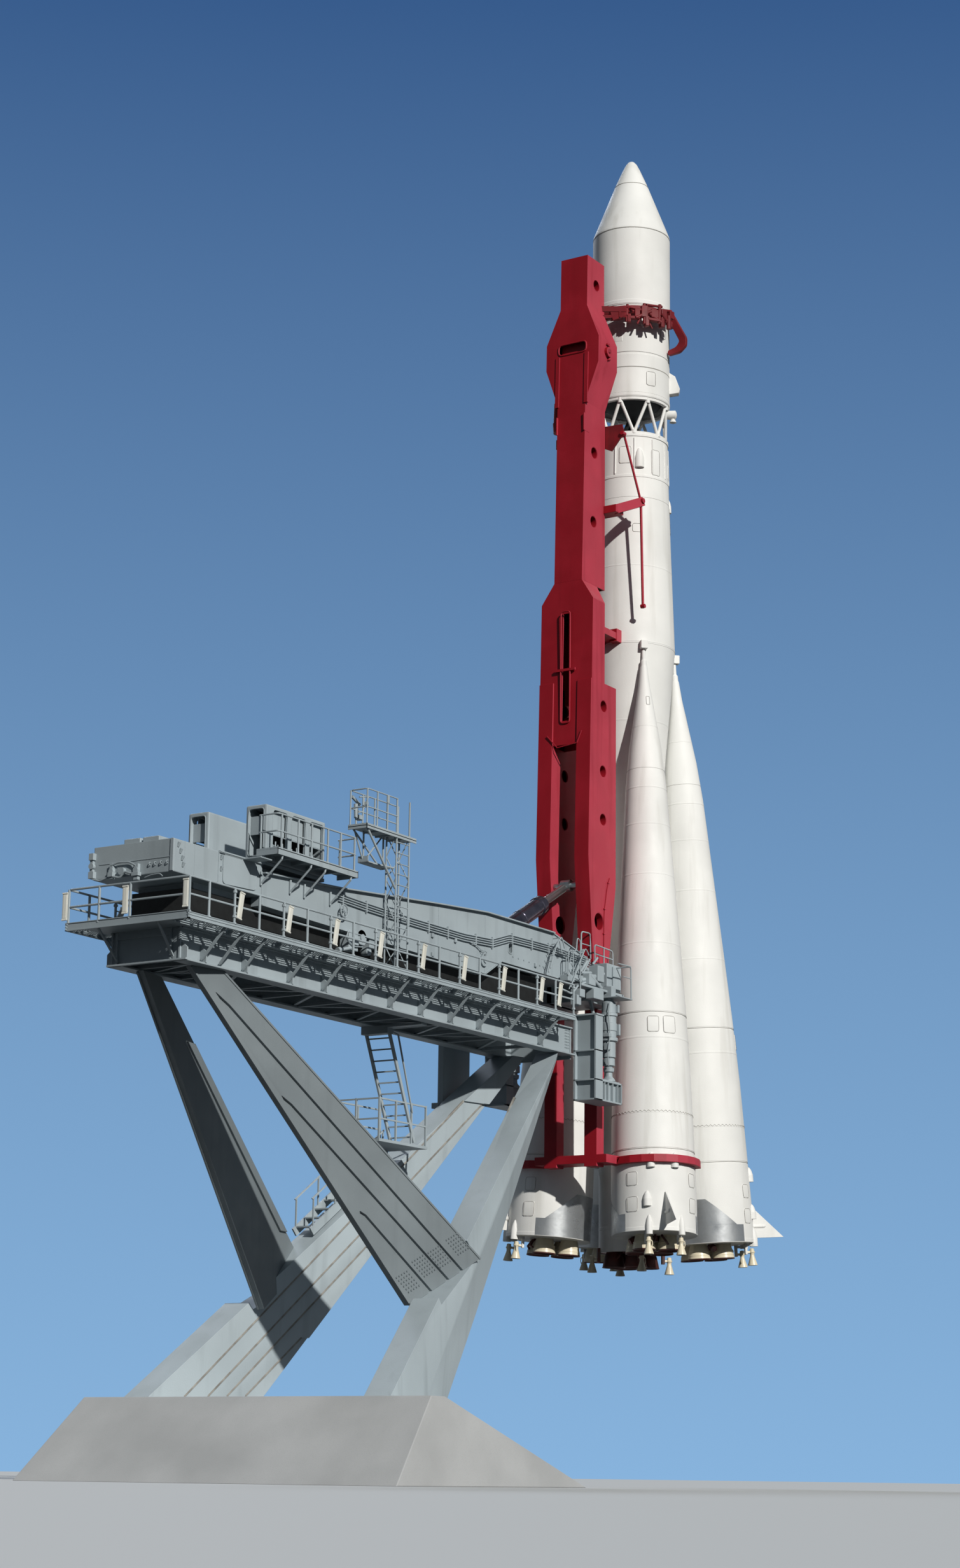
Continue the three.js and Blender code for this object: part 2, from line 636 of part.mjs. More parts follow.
const CABIN = { x: [19.2, 21.9], y: [0.62, 1.3], floor: 15.95, top: 17.5, wall: 0.07 };
const cabin = (side) => {
  const y = bySide(side, CABIN.y);
  const inner = [y[0] + CABIN.wall, y[1] - CABIN.wall];
  const shell = block(CABIN.x, y, [CABIN.floor, CABIN.top]);
  const length = [CABIN.x[0] + CABIN.wall, CABIN.x[1] - CABIN.wall];
  const room = block(length, inner, [CABIN.floor + 0.1, CABIN.top - 0.08]);
  const rearWindow = block([CABIN.x[1] - 0.2, CABIN.x[1] + 0.2], [y[0] + 0.12, y[1] - 0.12], [16.2, 17.25]);
  const windows = [0, 1, 2].map((i) => {
    const x = 19.4 + i * 0.85;
    return block([x, x + 0.62], side > 0 ? [y[1] - 0.2, y[1] + 0.2] : [y[0] - 0.2, y[0] + 0.2], [16.35, 17.2]);
  });
  return cut(shell, [room, rearWindow, windows]);
};
piece('cabin_near', GREY, cabin(1));
piece('cabin_far', GREY, cabin(-1));
piece('cabin_base', GREY, [
  block([19.2, 21.9], [-1.3, 1.3], [15.85, 15.95 - GAP]),
  block([19.2, 21.9], [-0.94, 0.94], [15.0 + GAP, 15.9]),
]);

// Walkway beside the near cabin, with its railing
const rail = (points, posts, low, high, radius = 0.022) => {
  const solids = [];
  for (const z of [low + (high - low) * 0.5, high]) {
    points.slice(1).forEach((point, i) => solids.push(beam([...points[i], z], [...point, z], radius * 2)));
  }
  posts.forEach(([x, y]) => solids.push(beam([x, y, low - 0.02], [x, y, high + radius * 1.4], radius * 2.3)));
  return solids;
};
const WALK = { x: [18.6, 22.3], y: [FRAME_Y.outer + GAP, 2.0], z: 16.1, struts: [21.9, 20.8, 19.9, 18.9] };
const walkPosts = [22.25, 21.35, 20.45, 19.55, 18.65];
piece('walkway', GREY, [
  block(WALK.x, WALK.y, [WALK.z, WALK.z + 0.06]),
  rail(
    [[22.25, 1.35], [22.25, 1.97], [18.65, 1.97], [18.65, 1.35]],
    [[22.25, 1.35], ...walkPosts.map((x) => [x, 1.97]), [18.65, 1.35]],
    WALK.z + 0.05,
    WALK.z + 1.0,
  ),
  WALK.struts.map((x) => [
    beam([x, 1.33, 15.4], [x, 1.95, WALK.z + 0.02], 0.05),
    block([x - 0.03, x + 0.03], [FRAME_Y.outer + GAP, 1.36], [15.3, WALK.z + 0.02]),
  ]),
]);

// Ladder tower: four trussed stiles that carry a railed platform and a smaller one below it
const TOWER = { x: [15.78, 16.41], y: [1.41, 1.75], foot: DECK.top + GAP, top: 17.65, rail: 1.05 };
const TOWER_PANEL = 0.62;
const towerPanels = Array.from({ length: 6 }, (_, i) => TOWER.foot + 0.1 + i * TOWER_PANEL);
piece('ladder_tower', GREY, [
  TOWER.x.map((x) => [
    TOWER.y.map((y) => beam([x, y, TOWER.foot], [x, y, TOWER.top + TOWER.rail], 0.055)),
    towerPanels.map((z, i) => beam(
      [x, TOWER.y[i % 2], z],
      [x, TOWER.y[(i + 1) % 2], z + TOWER_PANEL],
      0.035,
    )),
    beam([x, TOWER.y[0], 15.4], [x, FRAME_Y.outer + GAP, 15.4], 0.06),
  ]),
  Array.from({ length: 12 }, (_, i) => beam(
    [TOWER.x[0], TOWER.y[1], 14.15 + i * 0.3],
    [TOWER.x[1], TOWER.y[1], 14.15 + i * 0.3],
    0.035,
  )),
  block([15.49, 17.95], [1.16, 1.8], [TOWER.top - 0.06, TOWER.top]),
  beam([16.4, 1.75, 16.13], [17.9, 1.75, TOWER.top], 0.06),
  block([16.3, 17.44], [1.16, 1.5], [16.72, 16.78]),
  beam([17.38, 1.3, 16.74], [17.38, 1.3, TOWER.top - 0.02], 0.05),
  beam([16.41, 1.3, 16.74], [16.41, 1.3, TOWER.top - 0.02], 0.05),
  beam([16.41, 1.26, 16.75], [16.41, 1.78, 16.75], 0.05),
  rail(
    [[15.54, 1.2], [17.9, 1.2], [17.9, 1.76], [16.41, 1.76]],
    [[15.54, 1.2], [16.72, 1.2], [17.9, 1.2], [17.9, 1.76], [17.1, 1.76]],
    TOWER.top,
    TOWER.top + TOWER.rail,
  ),
]);

// End machinery above the girders, next to the rocket
piece('end_machinery', GREY, SIDES.map((side) => [
  block([3.3, 5.2 - GAP], bySide(side, [-0.1, 1.55]), [14.55, 15.0]),
  block([4.55, 5.2 - GAP], bySide(side, [-0.1, 1.4]), [14.9, 15.45]),
  block([3.3, 6.2], bySide(side, [1.35, 2.3]), [14.75, 14.95]),
  block([3.6, 4.6], bySide(side, [0.97 + GAP, 1.2]), [14.9, 16.2]),
  rail(
    [[3.35, side * 1.4], [3.35, side * 2.25], [6.15, side * 2.25]],
    [[3.35, side * 1.4], [3.35, side * 2.25], [4.75, side * 2.25], [6.15, side * 2.25]],
    14.95,
    15.95,
  ),
]));

// Platform: two plate girders with a deck on top and struts out to its edges
const GIRDER = { x: [5.72, 25.1], y: 1.05, low: 12.83, flange: 0.22 };
const girderStrip = (side, half, z) => block(GIRDER.x, [side * GIRDER.y - half, side * GIRDER.y + half], z);
const girder = (side) => [
  girderStrip(side, 0.04, [GIRDER.low + LAP, DECK.under + LAP]),
  girderStrip(side, GIRDER.flange, [GIRDER.low, GIRDER.low + 0.05]),
];
const stations = [7.66, 9.6, 11.12, 12.65, 14.2, 15.74, 17.25, 18.93, 20.5, 22.5, 23.5, 24.25];
const ribs = (side) => stations.map((x) => [
  block([x - 0.03, x + 0.03], bySide(side, [GIRDER.y, GIRDER.y + 0.25]), [12.84, 13.2]),
  block([x - 0.03, x + 0.03], bySide(side, [GIRDER.y, GIRDER.y + 0.12]), [13.1, 13.72]),
  beam([x, side * (GIRDER.y + 0.12), 12.95], [x, side * (DECK.half - 0.08), DECK.under + 0.03], 0.05),
]);
piece('platform', GREY, [
  block(DECK.x, [-DECK.half, DECK.half], [DECK.under, DECK.top]),
  SIDES.map((side) => [girder(side), ribs(side)]),
  stations.map((x) => block([x, x + 0.08], [-GIRDER.y, GIRDER.y], [12.85, 12.97])),
  stations.slice(1).map((x, i) => beam(
    [stations[i] + 0.04, (i % 2 ? 1 : -1) * (GIRDER.y - 0.02), 12.91],
    [x + 0.04, (i % 2 ? -1 : 1) * (GIRDER.y - 0.02), 12.91],
    0.07,
  )),
  block([GIRDER.x[1] - 0.06, GIRDER.x[1]], [-GIRDER.y, GIRDER.y], [12.85, DECK.under + LAP]),
  block([GIRDER.x[0], GIRDER.x[0] + 0.06], [-1.75, 1.75], [12.7, DECK.under + LAP]),
  block([6.96, 8.45], [-1.96, -1.77], [11.2, DECK.under + LAP]),
  block([6.96, 8.75], [-1.98, -1.75], [11.05, 11.22]),
]);

// Railing round the deck, with upright lamp bars fixed to its outside
const railY = DECK.half - 0.05;
const POSTS = { count: 18, start: 7.0, step: 1.063 };
const postXs = Array.from({ length: POSTS.count }, (_, i) => POSTS.start + i * POSTS.step);
const rearPosts = [railY, 0.06, -0.95, -railY];
const postPlaces = [
  ...SIDES.flatMap((side) => postXs.map((x) => [x, side * railY])),
  ...rearPosts.map((y) => [25.88, y]),
];
const lampXs = postXs.filter((_, i) => i === 1 || (i > 0 && i % 2 === 0)).map((x) => x - 0.19);
const LAMP = { low: 13.95, high: 14.75, tilt: 0.07, thickness: 0.06, width: 0.2 };
const lamp = (x, side) => beam(
  [x + LAMP.tilt, side * (railY + 0.05), LAMP.low],
  [x - LAMP.tilt, side * (railY + 0.05), LAMP.high],
  LAMP.thickness,
  LAMP.width,
);
piece('deck_railing', GREY, [
  rail(
    [[7.0, railY], [25.88, railY], [25.88, -railY], [7.0, -railY]],
    postPlaces,
    DECK.top + 0.02 + GAP,
    14.78,
    0.03,
  ),
  SIDES.map((side) => lampXs.map((x) => lamp(x, side))),
  [1.86, -0.08, -2.05].map((y) => block([25.87, 25.935], [y - 0.1, y + 0.1], [LAMP.low, LAMP.high])),
]);

// Columns at the rocket end, each with a jack on its lower box
const COLUMN = { x: [5.3, GIRDER.x[0] - GAP], y: [1.2, 2.0], foot: 11.45, box: 12.1, top: 14.1 };
const column = (side) => {
  const y = bySide(side, COLUMN.y);
  const recess = (x, z) => block(x, side > 0 ? [y[1] - 0.05, y[1] + 0.1] : [y[0] - 0.1, y[0] + 0.05], z);
  return cut(join([
    block(COLUMN.x, y, [COLUMN.foot, COLUMN.top]),
    block([4.1, 5.4], y, [COLUMN.foot, COLUMN.box]),
    block([4.15, 5.4], [y[0] + 0.05, y[1] - 0.05], [COLUMN.box - 0.05, COLUMN.box + 0.05]),
    block([COLUMN.x[0] - 0.04, COLUMN.x[1]], [y[0] - 0.03, y[1] + 0.03], [COLUMN.top - 0.05, COLUMN.top]),
  ]), [
    recess([5.37, 5.65], [12.2, 13.05]),
    recess([5.37, 5.65], [13.12, 13.98]),
    [4.2, 4.62, 5.02].map((x) => recess([x, x + 0.33], [11.53, 12.0])),
    recess([5.42, 5.65], [11.53, 12.0]),
  ]);
};
const JACK = { x: 4.6, y: 1.72, foot: COLUMN.box + 0.05 + GAP, top: 14.75 - GAP };
const jack = (side) => turned([
  [0, JACK.foot],
  [0.2, JACK.foot],
  [0.12, 12.4],
  [0.15, 12.55],
  [0.15, 13.1],
  [0.21, 13.15],
  [0.21, 14.4],
  [0.1, JACK.top],
  [0, JACK.top],
], 12).translate([JACK.x, side * JACK.y, 0]);
piece('end_column_near', GREY, column(1));
piece('end_column_far', GREY, column(-1));
piece('jack_near', STEEL, jack(1));
piece('jack_far', STEEL, jack(-1));

// Leg frames: each member is a slab in its own leaning plane, offset Y = start + alongX x + down (top - z)

const LEG_TOP = GIRDER.low - GAP;
const LEG_PLANE = { start: -0.43, alongX: 0.19, down: 0.05, thickness: 0.83 };
const BRACE_PLANE = { start: 6.13, alongX: -0.22, down: -0.01, thickness: 0.2 };
const planeY = (plane, x, z) => plane.start + plane.alongX * x + plane.down * (LEG_TOP - z);
// A slab through rows of a front and a rear place, each [x, z]
function slab(rows, plane, side) {
  const half = plane.thickness / 2;
  const corner = ([x, z], offset) => [x, side * (planeY(plane, x, z) + offset), z];
  return quadStack(rows.flatMap(([front, rear]) => [
    corner(front, -half),
    corner(rear, -half),
    corner(rear, half),
    corner(front, half),
  ]), rows.length);
}
// A plane's slab of another thickness whose middle is moved outward
const shifted = (plane, outward, thickness) => ({ ...plane, start: plane.start + outward, thickness });

const legFront = (z) => 6.1 + (15.73 - 6.1) * ((12.83 - z) / 10.62);
const legRear = (z) => 6.6 + (19.97 - 6.6) * ((12.83 - z) / 10.62);
const legRow = (z) => [[legFront(z), z], [legRear(z), z]];

// Lapped plates on the leg's inner face: the line where each one ends, at the plinth and at its top
const LAPS = [
  { foot: [18.72, 2.25], head: [8.65, 11.23] },
  { foot: [17.82, 2.29], head: [7.77, 11.24] },
  { foot: [17.08, 2.31], head: [12.19, 6.67] },
  { foot: [16.34, 2.34], head: [14.4, 4.0] },
];
const LAP_DEPTH = 0.06;
const lapCutter = ({ foot, head }, i, side) => {
  const depth = LAP_DEPTH * (i + 1);
  const slope = (head[0] - foot[0]) / (head[1] - foot[1]);
  const below = [foot[0] - 1.5 * slope, foot[1] - 1.5];
  return slab([
    [[legFront(below[1]) - 0.4, below[1]], below],
    [[Math.min(legFront(head[1]) - 0.4, head[0] - 0.1), head[1]], head],
  ], shifted(LEG_PLANE, depth / 2 - 0.25 - LEG_PLANE.thickness / 2, 0.5 + depth), side);
};
// The outer face is bevelled back along the front edge, ever wider to the foot
const BEVEL = { width: [0.65, 1.95], z: [LEG_TOP + 0.01, 2.1], depth: 0.26 };
const bevelCutter = (side) => quadStack(BEVEL.z.flatMap((z, i) => {
  const line = legFront(z) + BEVEL.width[i];
  const edge = legFront(z) - 0.2;
  const outer = (x) => planeY(LEG_PLANE, x, z) + LEG_PLANE.thickness / 2;
  const drop = BEVEL.depth * (1 + 0.2 / BEVEL.width[i]);
  return [
    [edge, side * (outer(edge) - drop), z],
    [line, side * outer(line), z],
    [line, side * (outer(line) + 0.5), z],
    [edge, side * (outer(edge) + 0.5), z],
  ];
}), 2);

const BRACE = { foot: [[13.92, 6.07], [16.47, 4.68]], head: [[23.28, LEG_TOP], [24.33, LEG_TOP]] };
const braceAround = (side) => {
  const grow = ([x, z], dx, dz) => [x + dx, z + dz];
  const out = 2 * GAP;
  return slab([
    [grow(BRACE.foot[0], -3 * out, 0), grow(BRACE.foot[1], out, -out)],
    [grow(BRACE.head[0], -3 * out, 0), grow(BRACE.head[1], out, 0)],
  ], shifted(BRACE_PLANE, 1.5, 3 + BRACE_PLANE.thickness + out), side);
};
// Grooves down the outer face of the brace, each from its pointed start to the foot
const GROOVES = [
  { start: [23.5, 12.24], end: [14.58, 5.67] },
  { start: [21.19, 9.82], end: [15.1, 5.4] },
  { start: [18.36, 7.05], end: [15.69, 5.03] },
];
const GROOVE = { half: 0.11, depth: 0.08, past: 1.06 };
const grooveCutter = ({ start, end }, side) => {
  const [dx, dz] = [end[0] - start[0], end[1] - start[1]];
  const row = (share, half) => {
    const [x, z] = [start[0] + dx * share, start[1] + dz * share];
    return [[x - half, z], [x + half, z]];
  };
  const plane = shifted(BRACE_PLANE, BRACE_PLANE.thickness / 2 + 0.2 - GROOVE.depth, 0.4);
  return slab([row(GROOVE.past, GROOVE.half), row(0.04, GROOVE.half), row(0, 0.01)], plane, side);
};
const brace = (side) => cut(join([
  slab([BRACE.foot, BRACE.head], BRACE_PLANE, side),
  slab([
    [[15.12, 6.9], [15.57, 6.9]],
    [[21.3, 11.35], [21.75, 11.35]],
  ], shifted(BRACE_PLANE, -BRACE_PLANE.thickness / 2 - 0.02, 0.1), side),
]), GROOVES.map((groove) => grooveCutter(groove, side)));
const leg = (side) => cut(slab([legRow(0.3), legRow(LEG_TOP)], LEG_PLANE, side), [
  LAPS.map((lap, i) => lapCutter(lap, i, side)),
  bevelCutter(side),
  braceAround(side),
]);

const PLINTH = { x: [-9.1 / 2 + 17.73, 22.28], crest: [19.44, 20.07], height: 2.21, half: [6.08, 5.6] };
const plinthRing = (front, rear, half, z) => [
  [front, -half, z],
  [rear, -half, z],
  [rear, half, z],
  [front, half, z],
];
const plinthBody = quadStack([
  ...plinthRing(PLINTH.x[0], PLINTH.x[1], PLINTH.half[0], 0),
  ...plinthRing(PLINTH.crest[0], PLINTH.crest[1], PLINTH.half[1], PLINTH.height),
], 2);
const plinthGrown = join([plinthBody, movedBy(plinthBody, 0, 0, GAP * 2)]);
for (const [word, side] of [['near', 1], ['far', -1]]) {
  piece(`leg_${word}`, GREY, cut(leg(side), [plinthGrown, block([20.2, 30], [-9, 9], [-1, 2.4])]));
  piece(`brace_${word}`, GREY, brace(side));
}
piece('plinth', STONE, plinthBody);

// Ladder from the deck down to a railed landing, and steps down the far leg's upper edge
const LADDER = { top: [13.42, 12.65], foot: [12.05, 9.62], y: [-1.2, -0.4], rungs: 10 };
const LANDING = { x: [11.4, 13.9], y: [-2.05, -0.35], z: 9.56, rail: 1.15 };
const STEPS = { top: [11.5, 9.16], foot: [14.3, 6.94], y: -2.3, half: 0.3, count: 8 };
const between = ({ top, foot }, share) => top.map((place, i) => place + share * (foot[i] - place));
const onLadder = (share) => between(LADDER, share);
const onSteps = (share) => between(STEPS, share);
const landingPosts = [
  [11.45, -0.4],
  [12.2, -0.4],
  [13.0, -0.4],
  [13.85, -0.4],
  [13.85, -1.2],
  [13.85, -2.0],
  [12.6, -2.0],
  [11.45, -2.0],
];
const legGrown = slab(
  [legRow(0.3), legRow(LEG_TOP)],
  shifted(LEG_PLANE, 0, LEG_PLANE.thickness + 2 * GAP),
  -1,
).translate([GAP, 0, GAP]);
const stepY = (x) => STEPS.y - LEG_PLANE.alongX * (x - 12.5);
const stairLine = (side, rise) => [0, 1].map((share) => {
  const [x, z] = onSteps(share);
  return [x, stepY(x) + side * STEPS.half, z + rise];
});
piece('stairs', GREY, cut(join([
  LADDER.y.map((y) => {
    const [top, foot] = [onLadder(0), onLadder(1)];
    return beam([top[0], y, top[1]], [foot[0], y, foot[1]], 0.06, 0.1);
  }),
  Array.from({ length: LADDER.rungs }, (_, i) => {
    const [x, z] = onLadder((i + 0.5) / LADDER.rungs);
    return beam([x, LADDER.y[0] - 0.02, z], [x, LADDER.y[1] + 0.02, z], 0.04);
  }),
  block([13.3, 13.6], [-1.26, -0.34], [12.6, GIRDER.low - GAP]),
  block([13.3, 13.6], [-1.26, 0.82], [GIRDER.low - 0.06, GIRDER.low - GAP]),
  beam([13.0, -0.37, 12.62], [12.2, -0.37, LANDING.z + 0.9], 0.04),
  beam([13.0, -0.37, 12.62], [13.42, -0.37, 12.7], 0.04),
  block(LANDING.x, LANDING.y, [LANDING.z - 0.08, LANDING.z]),
  rail(
    [[11.45, -0.4], [13.85, -0.4], [13.85, -2.0], [11.45, -2.0]],
    landingPosts,
    LANDING.z,
    LANDING.z + LANDING.rail,
  ),
  block([11.45, 12.4], [-2.05, -1.7], [8.2, LANDING.z - 0.04]),
  SIDES.map((side) => [
    beam(...stairLine(side, 0.02), 0.06, 0.24),
    beam(...stairLine(side, 0.95), 0.04),
    [0.02, 0.35, 0.68, 0.98].map((share) => {
      const [x, z] = onSteps(share);
      const y = stepY(x) + side * STEPS.half;
      return beam([x, y, z], [x, y, z + 0.96], 0.04);
    }),
  ]),
  Array.from({ length: STEPS.count }, (_, i) => {
    const [x, z] = onSteps((i + 0.5) / STEPS.count);
    const y = stepY(x);
    return block([x - 0.14, x + 0.14], [y - STEPS.half, y + STEPS.half], [z + 0.02, z + 0.06]);
  }),
]), [legGrown]));

model.position.set(-PLINTH_CENTRE * MM_PER_METRE, 0, 0);
model.scale.setScalar(MM_PER_METRE);
const wholeModel = new THREE.Group();
wholeModel.add(model);

export default wholeModel;
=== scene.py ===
"""Looks of a 1:2 model of a space rocket, its red erector boom, grey platform and stone plinth."""

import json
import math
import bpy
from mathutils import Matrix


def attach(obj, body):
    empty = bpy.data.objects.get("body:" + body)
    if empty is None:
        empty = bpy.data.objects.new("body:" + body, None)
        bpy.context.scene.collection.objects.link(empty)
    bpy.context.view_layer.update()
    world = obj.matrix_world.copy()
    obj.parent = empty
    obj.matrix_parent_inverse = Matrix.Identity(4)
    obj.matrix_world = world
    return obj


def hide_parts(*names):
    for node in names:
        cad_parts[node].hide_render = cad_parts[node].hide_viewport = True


bl_info = {
    "name": "Space rocket on its erector",
    "version": (1, 0, 0),
    "blender": (4, 5, 0),
    "location": "View3D > Sidebar > Rocket",
    "description": "Models and paints a space rocket, its erector, platform and plinth round a packed frame",
    "category": "Object",
}

import bpy
from mathutils import Matrix, Vector

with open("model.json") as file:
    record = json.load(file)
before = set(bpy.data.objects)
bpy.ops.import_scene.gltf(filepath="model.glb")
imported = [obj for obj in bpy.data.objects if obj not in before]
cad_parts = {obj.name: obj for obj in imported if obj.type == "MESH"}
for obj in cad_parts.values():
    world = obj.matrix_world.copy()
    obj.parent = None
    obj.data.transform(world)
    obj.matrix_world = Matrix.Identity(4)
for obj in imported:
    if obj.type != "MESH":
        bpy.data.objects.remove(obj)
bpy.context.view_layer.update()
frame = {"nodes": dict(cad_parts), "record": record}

# Lengths are metres on the full-size original: X from the rocket's axis, Z from the plinth's underside

SCALE = 0.5
PLINTH_CENTRE = 17.73
SKIRT = 7.606
LAUNCHER = "launcher"
ROUND = 64
SKIN_ROUND = 72
FINE_ROUND = 96
SIDES = (1, -1)
UP = Vector((0, 0, 1))
HERE = Matrix.Identity(4)
MIRROR = Matrix.Diagonal((1, -1, 1, 1))

TO_FRAME = Matrix.Diagonal((SCALE, SCALE, SCALE, 1)) @ Matrix.Translation((-PLINTH_CENTRE, 0, 0))
TO_ROCKET = TO_FRAME @ Matrix.Translation((0, 0, SKIRT))

BOOSTER_AZIMUTHS = (45, 135, 225, 315)
BOOSTER_BASE = 2.734
BOOSTER_LEAN = math.atan((BOOSTER_BASE - 1.509) / 19.098)


def turn(degrees, axis="Z"):
    return Matrix.Rotation(math.radians(degrees), 4, axis)


def shift(x, y, z):
    return Matrix.Translation((x, y, z))


def on_booster(azimuth):
    """Frame of a booster's own leaning axis, with X away from the core"""
    lean = Matrix.Rotation(-BOOSTER_LEAN, 4, "Y")
    return TO_ROCKET @ turn(azimuth) @ shift(BOOSTER_BASE, 0, 0) @ lean


def polar(radius, azimuth, height):
    angle = math.radians(azimuth)
    return (radius * math.cos(angle), radius * math.sin(angle), height)


def linear(code):
    """Linear colour from an sRGB hex value"""
    channels = [int(code[i:i + 2], 16) / 255 for i in (1, 3, 5)]
    return tuple(c / 12.92 if c <= 0.04045 else ((c + 0.055) / 1.055) ** 2.4 for c in channels)


def paint_property(name, description, code):
    return bpy.props.FloatVectorProperty(
        name=name, description=description, subtype="COLOR", size=3, min=0, max=1, default=linear(code))


class RocketColours(bpy.types.PropertyGroup):
    """Colours of the finishes"""

    white: paint_property("Rocket white", "Warm white paint of the rocket's skins", "#EFEFEC")
    red: paint_property("Erector red", "Deep red paint of the erector boom", "#8E0F1D")
    grey: paint_property("Platform grey", "Blue-grey paint of the platform and its legs", "#8B959A")
    engine: paint_property("Engine metal", "Heat-stained metal of the thrust chambers", "#3A2422")
    cream: paint_property("Cream enamel", "Enamel on the thrust and steering chambers", "#E4DAC0")
    steel: paint_property("Bright steel", "Ground steel of the lifting rod and jacks", "#A9AEB0")
    aluminium: paint_property("Bare aluminium", "Bare rolled sheet on the boosters' skirts", "#B9BCBE")
    stone: paint_property("Plinth stone", "Pale cladding slabs of the plinth", "#B7B9BA")
    # Near black, partly the oily steel's own colour, partly painted shade inside the transporter and the cabs
    inside_shade: paint_property("Dark inside", "Oily steel inside the transporter and the cabs", "#0B0D0E")


class RocketSizes(bpy.types.PropertyGroup):
    """Sizes that a user would change"""

    rail_radius: bpy.props.FloatProperty(
        name="Rail radius", description="Radius of the handrail tubes", default=0.03, min=0.01, max=0.06,
        unit="LENGTH")
    sun_height: bpy.props.FloatProperty(
        name="Light height", description="Height of the main light over the horizon",
        default=math.radians(27), subtype="ANGLE", unit="ROTATION")
    sun_azimuth: bpy.props.FloatProperty(
        name="Light azimuth", description="Compass direction of the main light from +X",
        default=math.radians(60), subtype="ANGLE", unit="ROTATION")


# Real finish of each of the record's material slots
FINISHES = {
    "rocket_white": "white_enamel",
    "erector_red": "red_alkyd_paint",
    "platform_grey": "grey_machine_paint",
    "engine_metal": "heat_stained_alloy",
    "chamber_cream": "cream_stove_enamel",
    "bright_steel": "ground_steel",
    "plinth_concrete": "sawn_artificial_stone",
}

# Modelling steps


def pick(*pieces):
    bpy.ops.object.select_all(action="DESELECT")
    for piece in pieces:
        piece.select_set(True)
    bpy.context.view_layer.objects.active = pieces[-1]


def named(name):
    piece = bpy.context.object
    piece.name = name
    piece.data.name = name
    return piece


def edit_all(piece):
    pick(piece)
    bpy.ops.object.mode_set(mode="EDIT")
    bpy.ops.mesh.select_all(action="SELECT")


def leave_edit():
    bpy.ops.object.mode_set(mode="OBJECT")


def ring_of(name, corners, fill):
    """A ring of corners, from a circle whose corners move to them"""
    bpy.ops.object.select_all(action="DESELECT")
    bpy.ops.mesh.primitive_circle_add(vertices=len(corners), fill_type=fill)
    piece = named(name)
    for corner, place in zip(piece.data.vertices, corners):
        corner.co = place
    return piece


def chain(name, corners):
    """A ring of corners opened between its last and its first"""
    piece = ring_of(name, corners, "NOTHING")
    ends = (0, len(corners) - 1)
    for corner in piece.data.vertices:
        corner.select = corner.index in ends
    for edge in piece.data.edges:
        edge.select = set(edge.vertices) == set(ends)
    pick(piece)
    bpy.ops.object.mode_set(mode="EDIT")
    bpy.ops.mesh.delete(type="EDGE")
    leave_edit()
    return piece


def turned(name, rows, segments=ROUND):
    """A body turned about Z from rows of (height, radius), closed where its last row is its first"""
    closed = rows[0] == rows[-1]
    corners = [(radius, 0, height) for height, radius in rows]
    piece = ring_of(name, corners[:-1], "NOTHING") if closed else chain(name, corners)
    edit_all(piece)
    bpy.ops.mesh.spin(steps=segments, angle=math.tau, center=(0, 0, 0), axis=(0, 0, 1))
    bpy.ops.mesh.select_all(action="SELECT")
    bpy.ops.mesh.remove_doubles(threshold=0.0002)
    bpy.ops.mesh.normals_make_consistent(inside=False)
    leave_edit()
    return piece


def prism(name, corners, depth):
    """A flat outline drawn out along a depth"""
    piece = ring_of(name, corners, "NGON")
    edit_all(piece)
    bpy.ops.mesh.extrude_region_move(TRANSFORM_OT_translate={"value": depth})
    bpy.ops.mesh.select_all(action="SELECT")
    bpy.ops.mesh.normals_make_consistent(inside=False)
    leave_edit()
    return piece


def tube(name, places, radius, sides=10):
    """A round tube along a line of places"""
    piece = chain(name, places) if len(places) > 2 else chain(name, [places[0], mid(*places), places[1]])
    pick(piece)
    bpy.ops.object.convert(target="CURVE")
    curve = bpy.context.object.data
    curve.dimensions = "3D"
    curve.fill_mode = "FULL"
    curve.bevel_depth = radius
    curve.bevel_resolution = max(0, (sides - 4) // 2)
    curve.use_fill_caps = True
    bpy.ops.object.convert(target="MESH")
    piece = named(name)
    edit_all(piece)
    bpy.ops.mesh.remove_doubles(threshold=0.0001)
    bpy.ops.mesh.normals_make_consistent(inside=False)
    leave_edit()
    return piece


def mid(a, b):
    return tuple((Vector(a) + Vector(b)) / 2)


def model_cube(name="cube"):
    bpy.ops.object.select_all(action="DESELECT")
    bpy.ops.mesh.primitive_cube_add(size=1)
    return named(name)


def model_bar(sides):
    bpy.ops.object.select_all(action="DESELECT")
    bpy.ops.mesh.primitive_cylinder_add(vertices=sides, radius=1, depth=1)
    return named("bar")


def joined(name, pieces):
    if len(pieces) > 1:
        pick(*pieces)
        bpy.ops.object.join()
    else:
        pick(pieces[0])
    return named(name)


def copy_at(model, place):
    """A copy of a piece with its own mesh, moved by a matrix"""
    copy = model.copy()
    copy.data = model.data.copy()
    copy.data.transform(place)
    if place.is_negative:
        copy.data.flip_normals()
    bpy.context.scene.collection.objects.link(copy)
    return copy


def copies(model, places):
    """Copies of a model at each place; the model itself goes"""
    made = [copy_at(model, place) for place in places]
    bpy.data.objects.remove(model)
    return made


def spread(name, model, places):
    """Copies of a model at each place, joined as one piece"""
    return joined(name, copies(model, places))


